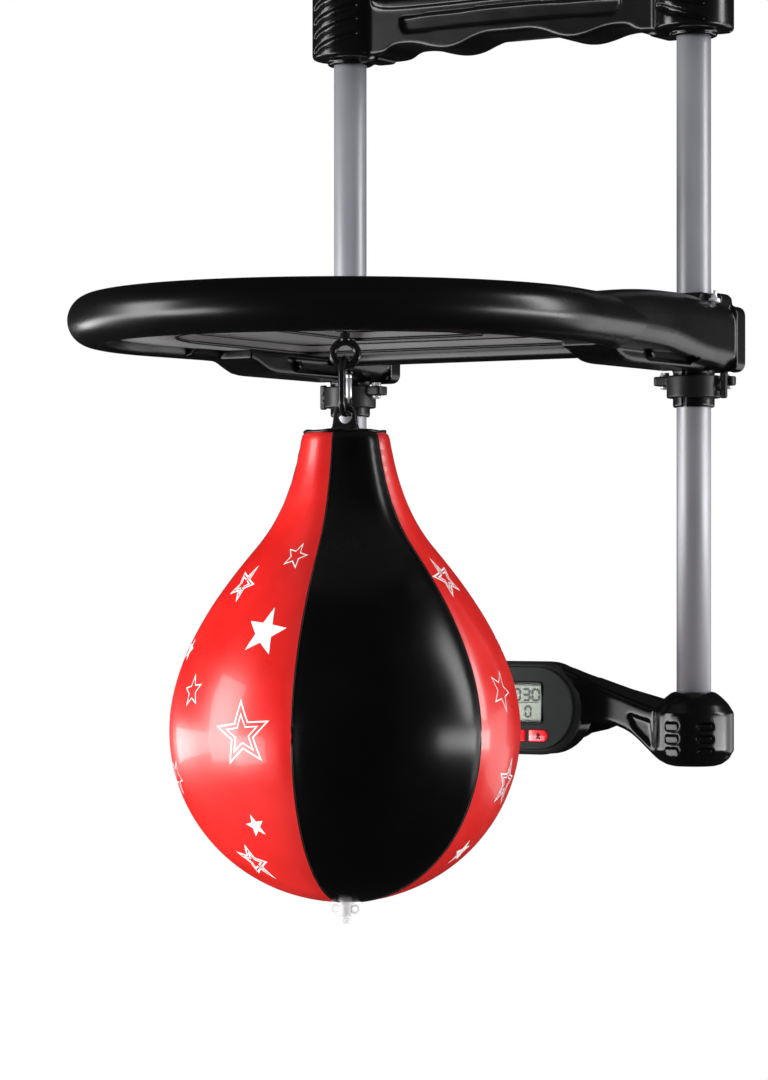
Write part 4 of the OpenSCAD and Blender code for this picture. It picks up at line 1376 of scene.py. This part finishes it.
for side, label in ((-1, "left"), (1, "right")):
    c = side * TUBE_X
    ring = lathe("ring", [(15.5, -294.5), (19.4, -294.5), (20, -293.9), (20, -278.4), (19.6, -278),
                          (15.5, -278)], (c, TUBE_Y, 0), steps=72)
    inner = oblong(c - side * 31, c - side * 14, TUBE_Y - 6.5, TUBE_Y + 6.5)
    outer = oblong(c + side * 10, c + side * 26, TUBE_Y + 11.5, TUBE_Y + 19.5)
    ears = [slab("ear", rounded(shape, 3, 4), -285, -278, "z", 1) for shape in (inner, outer)]
    boss = slab("boss", [(TUBE_Y + x, KNOB_Z + y) for x, y in circle(4.4, 24)],
                *outward(side, 16.5, 20.2), "x", 0)
    hole = slab("hole", [(c - side * 27 + x, TUBE_Y + y) for x, y in circle(1.6, 20)],
                -290, -270, "z")
    keep_clear = plug(side, 15.5, -310, -270)
    band = moulded(label + "_clamp_moulding", [ring, *ears, boss], [hole, keep_clear], satin_black,
                   0.7, 2)
    settle(band, "board", "back_plastic", label + "_clamp_band")

    wing = slab("wing", rounded(oblong(TUBE_Y - 2.1, TUBE_Y + 2.1, -295.1, -275.9), 1.6, 4),
                *outward(side, 22, 27.2), "x", 1.6)
    stem = slab("stem", [(TUBE_Y + x, KNOB_Z + y) for x, y in circle(4.5, 28)],
                *outward(side, 20.4, 23.6), "x", 0.5)
    knob = moulded(label + "_thumb_screw", [wing, stem], [], satin_black, 0.4, 2)
    settle(knob, label + "_knob", "back_plastic", label + "_clamp_knob")

# %% [markdown]
# A screw with a washer and a nut closes each clamp from below, and a stud with a coarse thread
# stands on each bracket. The thread is a zigzag in the stud's profile: at this size rings
# look just like a helix, and they are far lighter.

# %% Set the clamp screws and bracket screws
EAR_TOP = -278.0


def middles(boxes):
    """The middle of each box, seen from above."""
    return [((a.x + b.x) / 2, (a.y + b.y) / 2) for a, b in boxes]


washer = lathe("washer", [(2.1, 0), (3.8, 0), (3.8, 0.9), (3.5, 1.1), (2.1, 1.1)], (0, 0, 0),
               bright_steel, steps=32)
nut = slab("nut", circle(3.5, 6), 1.1, 2.9, "z", 0.25, bright_steel, smooth=False)
seat = joined("washer_and_nut", [washer, nut])
places = [(x, y, EAR_TOP) for x, y in middles(boxes_of("clamp_screws"))]
nuts = copies("clamp_nuts", seat, places, (0, 0, 0), bright_steel, 1.0, 7)
heads = copies("clamp_heads", screw_head(3.5, 2.6), [(x, y, -285.1) for x, y, z in places],
               (180, 0, 0), bright_steel, 3.0, 3)
settle(joined("clamp_screw_set", [nuts, heads]), "board", "screw_steel", "clamp_screws")
thread = [(2.2 if k % 2 else 1.9, -220.6 + 0.3 * k) for k in range(1, 16)]
stud = lathe("stud", [(0, -225), (4.4, -225), (4.4, -222.6), (4, -222), (2.6, -221.9),
                      (2.4, -220.6)] + thread + [(0, -216)],
             (0, 0, 0), bright_steel, steps=40, closed=False)
places = [(x, y, 0) for x, y in middles(boxes_of("bracket_screws"))]
studs = copies("bracket_studs", stud, places, (0, 0, 0), bright_steel)
settle(studs, "board", "screw_steel", "bracket_screws")

# %% [markdown]
# ## The eye and the snap hook
#
# Both are bent from round bar, so a circle is swept along their centre lines. The eye ring
# faces the player, and the snap hook hangs in it at nearly a right angle. The bright gate is
# a separate rod on a pin, so that it can swing inwards.

# %% Sweep a rod along a flat line
EYE_TURN, HOOK_TURN = math.radians(32), math.radians(17)


def turned_to(angle, x, y, z):
    """A point given about the bag's hanging line, turned about that line."""
    return (x * math.cos(angle) - y * math.sin(angle),
            PIVOT_Y + x * math.sin(angle) + y * math.cos(angle), z)


def bent_rod(name, line, radius, material, normal, closed, steps=20):
    """A round rod along a flat line of 3D points; normal is square to the line's plane."""
    count = len(line)
    rings = []
    for i, here in enumerate(line):
        ahead = Vector(line[(i + 1) % count] if closed else line[min(i + 1, count - 1)])
        back = Vector(line[i - 1] if closed else line[max(i - 1, 0)])
        tangent = (ahead - back).normalized()
        side = tangent.cross(normal).normalized()
        rings.append([Vector(here) + side * x + normal * y for x, y in circle(radius, steps)])
    faces = grid_faces(count, steps)
    faces += (closing_faces if closed else end_caps)(count, steps)
    return mesh_object(name, [p for ring in rings for p in ring], faces, material)


print("a rod of radius 2 has a section of", len(circle(2)), "points")

# %% [markdown]
# The ring is a closed rod. Its shank goes up through a flange and a lock nut under the board,
# and its thread is a zigzag in the turned profile.

# %% Bend the eye
eye_low, eye_high = box_mm("eye_bolt")
EYE_BAR, EYE_R = 2.75, 8.6
EYE_Z = eye_low.z + EYE_BAR + EYE_R
ring_line = [turned_to(EYE_TURN, EYE_R * math.cos(a), 0, EYE_Z + EYE_R * math.sin(a))
             for a in around(64)]
ring = bent_rod("ring", ring_line, EYE_BAR, black_steel,
                Vector((math.sin(EYE_TURN), -math.cos(EYE_TURN), 0)), True, 24)
shank_low = EYE_Z + EYE_R - 1
thread = [(3.5 if k % 2 else 3.1, -231 + 0.5 * k) for k in range(20)]
shank = lathe("shank", [(0, shank_low), (4.2, shank_low), (3.6, EYE_Z + EYE_R + 2.6),
                        (3.5, -232)] + thread + [(0, eye_high.z)],
              (0, PIVOT_Y, 0), black_steel, steps=40, closed=False)
settle(joined("eye_ring_and_shank", [ring, shank]), "board", "black_steel", "eye_bolt")
base_high = box_mm("eye_base")[1]
flange = lathe("flange", [(3.6, 0), (12.4, 0), (13, -0.6), (12.6, -2.6), (10.4, -4), (3.6, -4)],
               (0, PIVOT_Y, base_high.z), black_steel)
hexagon = [(8.5 * math.cos(EYE_TURN + a), PIVOT_Y + 8.5 * math.sin(EYE_TURN + a))
           for a in around(6)]
lock_nut = slab("lock_nut", hexagon, base_high.z - 8, base_high.z - 3.9, "z", 0.7, black_steel,
                smooth=False)
settle(joined("eye_flange_and_nut", [flange, lock_nut]), "board", "black_steel", "eye_base")

# %% [markdown]
# The snap hook is one rod bent at both ends, open on one side. A nose at its upper end takes
# the gate, and a slot cut in its lower end takes the gate's tongue and pin. It could be a curve
# with a round bevel; the same rod function as for the eye keeps both alike.

# %% Bend the snap hook
hook_low, hook_high = box_mm("snap_hook")
WIRE_R, BEND = 2.4, 9.6
hook_top, hook_bottom = hook_high.z - WIRE_R - BEND, hook_low.z + WIRE_R + BEND
over = [(BEND * math.cos(a), hook_top + BEND * math.sin(a))
        for a in [math.pi * i / 18 for i in range(19)]]
under = [(-BEND * math.cos(a), hook_bottom - BEND * math.sin(a))
         for a in [math.pi * i / 18 for i in range(19)]]
hook_line = [(BEND, hook_top - 0.8)] + over + under + [(BEND, hook_bottom + 0.8)]
body = bent_rod("snap_hook_body", [turned_to(HOOK_TURN, 0, y, z) for y, z in hook_line], WIRE_R,
                black_steel, Vector((math.cos(HOOK_TURN), math.sin(HOOK_TURN), 0)), False)
PIN_Z = box_mm("snap_gate_pin")[0].z + 0.7
nose = lathe("nose", [(0, 0), (2.7, 0), (3, 0.5), (3, 2.2), (2.5, 3.4), (0, 3.4)],
             turned_to(HOOK_TURN, 0, BEND, hook_top - 0.8), black_steel, 28, False)
body = joined("snap_hook_body", [body, nose])


def hung(thing):
    """Turns a piece drawn at the origin to the way that the hook and the tab face."""
    thing.data.transform(Matrix.Translation(PIVOT * MM) @ Matrix.Rotation(HOOK_TURN, 4, "Z"))
    return thing


cut_away(body, hung(slab("slot", oblong(BEND - 5, BEND + 5, PIN_Z - 1.9, PIN_Z + 6),
                         -1.25, 1.25, "x")))
settle(body, "hook", "black_steel", "snap_hook")

# %% [markdown]
# The gate is a turned rod with a flat tongue on the pin. It rides on a body of its own,
# because it swings inwards when the ring is pushed in.

# %% Fit the gate
g0, g1 = PIN_Z + 2.1, box_mm("snap_gate")[1].z
rod = lathe("rod", [(0, g0), (1.1, g0), (2.1, g0 + 1.5), (2.1, g1 - 3), (1.9, g1 - 2.8),
                    (1.9, g1 - 2.2), (2.1, g1 - 2), (2.1, g1 - 0.4), (1.8, g1), (0, g1)],
            turned_to(HOOK_TURN, 0, BEND, 0), bright_steel, 32, False)
foot = rounded(oblong(BEND - 1.5, BEND + 1.5, PIN_Z - 1.4, PIN_Z + 3), 1.3)
tongue = hung(slab("tongue", foot, -0.9, 0.9, "x", 0.2, bright_steel))
settle(joined("snap_hook_gate", [rod, tongue]), "gate", "gate_steel", "snap_gate")

# %% [markdown]
# ## The bag
#
# The bag is six vinyl panels welded edge to edge and blown up. Its outline is a narrow neck
# that swells into a round belly. Between two welds a panel bulges, and along a weld it is
# drawn in a little, more at the neck, where the welds crowd together and pucker. All that is
# a rule of angle and height, so the skin is a grid of points worked out by one function.

# %% The bag's outline
skin_low, skin_high = box_mm("bag_skin")
BAG_R = (skin_high.x - skin_low.x) / 2
BAG_TOP, BAG_LOW = skin_high.z, skin_low.z
BAG_MID = BAG_TOP - 216.0
HEIGHT_LOW = BAG_LOW - BAG_MID
NECK = [(32.2, 210), (36, 188), (41.5, 160), (61.5, 135)]
BELLY, VALVE_R = 5, 6  # height of the widest point, and radius of the hole for the valve
SHOULDER = [(61.5, 135), (80.5, 112), (BAG_R + 0.4, 60), (BAG_R, BELLY)]


def bezier(p, t):
    return tuple((1 - t) ** 3 * a + 3 * t * (1 - t) ** 2 * b + 3 * t * t * (1 - t) * c + t ** 3 * d
                 for a, b, c, d in zip(*p))


profile = [(17.3, 215.6), (24, 215.9), (28.6, 214.8), (31.2, 212.6)]
profile += [bezier(NECK, i / 30) for i in range(31)]
profile += [bezier(SHOULDER, i / 44) for i in range(1, 45)]
last_turn = math.acos(VALVE_R / BAG_R)
profile += [(BAG_R * math.cos(a), BELLY - (BELLY - HEIGHT_LOW) * math.sin(a))
            for a in [last_turn * i / 56 for i in range(1, 57)]]
print("the bag's profile has", len(profile), "points; belly radius", round(BAG_R, 1))

# %% [markdown]
# One function gives any point of the skin from an angle, a radius and a height. It adds the
# pinch at a weld, the bulge between two welds, and the pucker in the crowded neck. The beads
# and the printing use it too, so they lie on the skin wherever it bends.

# %% A point of the skin
# Angles of the welds, from the front towards the right, in degrees
WELDS = [-56, 15.5, 81.5, 139, 194, 249]
PANEL_IS_RED = [True, False] * 3


def weld_distance(angle):
    """Degrees to the nearest weld."""
    return min(abs((angle - w + 180) % 360 - 180) for w in WELDS)


def skin_point(angle, r, height, lift=0.0):
    """A point of the skin at an angle in degrees; lift raises it off the surface."""
    near = weld_distance(angle)
    width_mm = near * math.pi / 180 * r
    neck = min(1.0, max(0.0, (height - 95) / 110))
    low = min(1.0, max(0.0, (-height - 70) / 50))
    pinch = (0.9 + 1.2 * neck + 0.8 * low) * math.exp(-(width_mm / (5 + 3 * neck)) ** 2)
    bulge = 0.9 * math.cos(math.pi * min(near, 27) / 54) - 0.9
    ripple = math.exp(-(width_mm / 7) ** 2) * math.sin(height * 0.8)
    pucker = (0.22 * neck ** 2 + 0.12 * low) * ripple
    reach = r - pinch + bulge + pucker + lift
    a = math.radians(angle)
    return (reach * math.sin(a), PIVOT_Y - reach * math.cos(a), BAG_MID + height)


print("the widest panel spans", max((WELDS[(i + 1) % 6] - w) % 360
                                    for i, w in enumerate(WELDS)), "degrees")

# %% [markdown]
# The vinyl is soft and slightly uneven, so a broad bump bends its highlights. Red is a deep
# pigment under a thin gloss, black keeps a low sheen, and the ink is a finish of its own.

# %% Vinyl in red and in black, and white ink
pvc_red = finish_of("bag_red_vinyl", (0.60, 0.011, 0.009), 0.32, grain=700, grain_bump=0.05,
                    patch=26, patch_change=0.05, patch_bump=0.10, coat=0.2, colour_change=0.08)
pvc_black = finish_of("bag_black_vinyl", (0.0018, 0.0018, 0.002), 0.24, grain=700, grain_bump=0.05,
                      patch=26, patch_change=0.04, patch_bump=0.10, shine=0.22)
white_ink = finish_of("bag_white_ink", (0.80, 0.78, 0.78), 0.32, grain=1800, grain_bump=0.08,
                      patch=90, colour_change=0.05)
print(len(bpy.data.materials), "finishes now")

# %% [markdown]
# The skin is a grid: a row for each height and a column for each angle. The columns stand
# closer together near the welds, where the skin bends most. The same grid is drawn a wall's
# thickness further in, so that the bag has a true skin and not a paper-thin one. A
# subdivided sphere with a pull at the welds would do too, but it would not give clean edges
# between red and black.

# %% Blow up the skin
PANEL_COLUMNS = 40
angle_list = []
for i, start in enumerate(WELDS):
    end = WELDS[(i + 1) % 6] + (360 if i == 5 else 0)
    for k in range(PANEL_COLUMNS):
        t = k / PANEL_COLUMNS
        eased = 0.5 - 0.5 * math.cos(math.pi * t)
        angle_list.append(start + (end - start) * (0.45 * t + 0.55 * eased))
columns = len(angle_list)
points = [skin_point(a, r, h) for r, h in profile for a in angle_list]
wall = 1.2
inside = [(max(r - wall, 4.9), h - (0.6 if h > 212 else 0) + (0.9 if h < -110 else 0))
          for r, h in reversed(profile)]
points += [skin_point(a, r, h) for r, h in inside for a in angle_list]
rows = 2 * len(profile)
faces = grid_faces(rows, columns) + closing_faces(rows, columns)
bag = mesh_object("bag_welded_skin", points, faces, pvc_red)
bag.data.materials.append(pvc_black)
for polygon in bag.data.polygons:
    x, y = polygon.center.x / MM, polygon.center.y / MM - PIVOT_Y
    angle = math.degrees(math.atan2(x, -y))
    panel = next(i for i, w in enumerate(WELDS)
                 if (angle - w) % 360 < (WELDS[(i + 1) % 6] - w) % 360)
    polygon.material_index = 0 if PANEL_IS_RED[panel] else 1
bag.visible_glossy = False
settle(bag, "bag", "bag_pvc", "bag_skin")

# %% [markdown]
# A weld leaves a fine raised bead where the two skins are fused. It follows the skin, so each
# bead is a small circle swept down its weld.

# %% Run a bead down each weld
beads = []
for w in WELDS:
    line = [skin_point(w, r, h, 0.1) for r, h in profile[3:-2:2]]
    beads.append(swept("bead", line, circle(0.55, 8), pvc_black))
rim_line = [(r * math.sin(a), PIVOT_Y - r * math.cos(a), BAG_TOP - 1.5 + 0.3 * math.sin(7 * a))
            for a in around(180) for r in [28.0 + 0.3 * math.sin(11 * a)]]
beads.append(swept("bead", rim_line[::-1], circle(1.3, 10), pvc_black, closed=True))
piping = settle(joined("bag_weld_beads", beads), "bag", "bag_pvc")
piping.visible_glossy = False

# %% [markdown]
# ## The printed stars
#
# The stars are screen-printed ink, so each is a film a fraction of a millimetre thick that
# follows the skin. A star is drawn flat, cut into small faces, and wrapped on the panel by
# the same function that made the skin.

# %% Draw a star flat
def radius_at(height):
    """The bag's radius at a height above its widest point."""
    for (r0, h0), (r1, h1) in zip(profile, profile[1:]):
        if h1 <= height <= h0 and h0 > h1:
            return r1 + (r0 - r1) * (height - h1) / (h0 - h1)
    return profile[-1][0]


def star_ring(size, tilt):
    """Ten corners of a five-pointed star, its arms size / 2 long."""
    reaches = [size / 2 * (1 if k % 2 == 0 else 0.42) for k in range(10)]
    turns = [math.radians(36 * k + tilt) for k in range(10)]
    return [Vector((r * math.sin(a), r * math.cos(a))) for r, a in zip(reaches, turns)]


def star_faces(size, line, tilt):
    """Flat quads for a star's outline, line wide, or for a full star when line is 0."""
    outer = star_ring(size, tilt)
    inner_ring = [Vector((0, 0))] * 10 if not line else star_ring(size - line * 5.4, tilt)
    along, inwards = (4, 1) if line else (10, 6)

    def at(k, u, v):
        start = outer[k].lerp(outer[(k + 1) % 10], u)
        end = inner_ring[k].lerp(inner_ring[(k + 1) % 10], u)
        return start.lerp(end, v)

    return [[at(k, u, v) for u, v in oblong(j / along, (j + 1) / along, i / inwards,
                                            (i + 1) / inwards)]
            for k in range(10) for j in range(along) for i in range(inwards)]


print("a full star is cut into", len(star_faces(30, 0, 0)), "small faces")

# %% [markdown]
# To print a star, each flat corner is turned into an angle and a height on the bag. The film
# has a front just above the skin and a back just inside it, so its edge never shows a gap.

# %% Wrap the stars on the skin
def print_star(angle, height, size, kind, tilt):
    """A star wrapped on the skin. kind is full, line or double."""
    made = []
    rings = {"full": [(size, 0)], "line": [(size, 0.75)],
             "double": [(size, 1.1), (size * 0.62, 0.9)]}[kind]
    for across, line in rings:
        for quad in star_faces(across, line, tilt):
            for lift, order in ((0.16, 1), (-0.5, -1)):
                made.append([skin_point(angle + math.degrees(p.x / radius_at(height)),
                                        radius_at(height + p.y), height + p.y, lift)
                             for p in quad[::order]])
    return made


# Angle, height above the widest point, size, kind and tilt of each star
STARS = [(0.5, 75, 34, "full", 8), (2.5, 127, 19, "line", 14), (-26, 108, 27, "double", 20),
         (-29, 34, 24, "line", -8), (-2, 6, 48, "double", -6), (-2.5, -57, 16.5, "full", -10),
         (-16, -84, 27, "double", 14), (-46, 62, 17, "full", 10), (-45, -26, 26, "line", 30),
         (93, 112, 29, "double", -14), (96.5, 34, 30, "line", 24), (103.5, -30, 36, "double", 6),
         (121, 66, 20, "full", 10), (96, -78, 18, "full", -12), (127, 4, 22, "line", 0),
         (213, 110, 26, "double", 8), (206, 60, 17, "full", -12), (232, 44, 28, "line", 16),
         (216, -6, 44, "double", 4), (238, -40, 16, "full", 20), (207, -72, 26, "line", -16)]
quads = [q for star in STARS for q in print_star(*star)]
ink = mesh_object("bag_printed_stars", [p for q in quads for p in q],
                  [tuple(range(4 * i, 4 * i + 4)) for i in range(len(quads))], white_ink, merge=0)
ink.visible_glossy = False
settle(ink, "bag", "bag_pvc")
print(len(STARS), "stars printed")

# %% [markdown]
# ## The tab and the valve
#
# The hanging tab is a flat moulded tongue with a hole, on a cap that closes the neck. The
# valve at the bottom is soft clear vinyl: a short tube with a ribbed stopper and two small
# rings. The tab is melted from slabs and a turned cap, as one moulding.

# %% Mould the hanging tab
tab_top = box_mm("bag_tab")[1].z
tongue = curve_through([(0, tab_top), (4.6, tab_top - 1.3), (7.4, tab_top - 4.6),
                        (8.3, tab_top - 9), (8.9, tab_top - 14), (9.9, tab_top - 17.2),
                        (12.2, tab_top - 18.8)], 5)
tongue = tongue + [(12.2, tab_top - 20.5), (-12.2, tab_top - 20.5)] + [
    (-x, z) for x, z in reversed(tongue[1:])]
hole_z = hook_low.z + WIRE_R * 2 + 0.8 - 5.2
cap = [(0, -4), (16.8, -4), (17, -3), (16.4, -0.4), (13.4, 1.0), (6, 1.6), (0, 1.7)]
parts = [slab("tongue", tongue, -2.5, 2.5, "y", 1.1),
         lathe("cap", cap, (0, 0, BAG_TOP), closed=False, steps=64),
         slab("collar", [(x, hole_z + z) for x, z in circle(5.2, 28)], -2.6, 2.6, "y", 0)]
hole = slab("hole", [(x, hole_z + z) for x, z in circle(5.1, 32)], -6, 6, "y", 0)
tab_plastic = finish_of("tab_black_vinyl", (0.010, 0.010, 0.011), 0.24, grain=1300, grain_bump=0.05,
                        patch=60, coat=0.3)
tab = moulded("bag_hanging_tab", parts, [hole], tab_plastic, 0.45, 2)
settle(hung(tab), "bag", "tab_plastic", "bag_tab")

# %% [markdown]
# The valve's tube and stopper are turned, and the stopper's ribs are three steps in its
# profile. The stopper pulls out, so it is a piece of its own and rides on its own body.

# %% Turn the valve and its ribbed stopper
V = BAG_MID + HEIGHT_LOW
valve = lathe("valve_tube", [(2.8, -9), (4, -9), (4.4, -8.6), (4.4, -2.2), (5.9, -1.4), (5.9, 1.8),
                             (2.8, 1.8)], (0, PIVOT_Y, V), valve_clear, steps=48)
rings = []
for s in (-1, 1):
    line = [turned_to(HOOK_TURN, s * 7 + 2.6 * math.cos(a), 0, V - 5 + 2.6 * math.sin(a))
            for a in around(28)]
    rings.append(bent_rod("ring", line, 0.8, valve_clear,
                          Vector((math.sin(HOOK_TURN), -math.cos(HOOK_TURN), 0)), True, 10))
settle(joined("valve_tube_and_rings", [valve] + rings), "bag", "valve_clear", "valve_body")
ribs = []
for k in range(3):
    z = -9.4 - 1.6 * k
    ribs += [(4.1, z - 0.1), (5.1, z - 0.5), (5.1, z - 1.0), (4.1, z - 1.4)]
stopper = lathe("ribbed_stopper", [(0, -1.5), (2.4, -1.5), (2.65, -2), (2.65, -9.3)] + ribs
                + [(3.3, -14.4), (3.3, -14.9), (2.9, -15.2), (0, -15.2)], (0, PIVOT_Y, V),
                valve_clear, steps=48, closed=False)
settle(stopper, "stopper", "valve_clear", "valve_stopper")
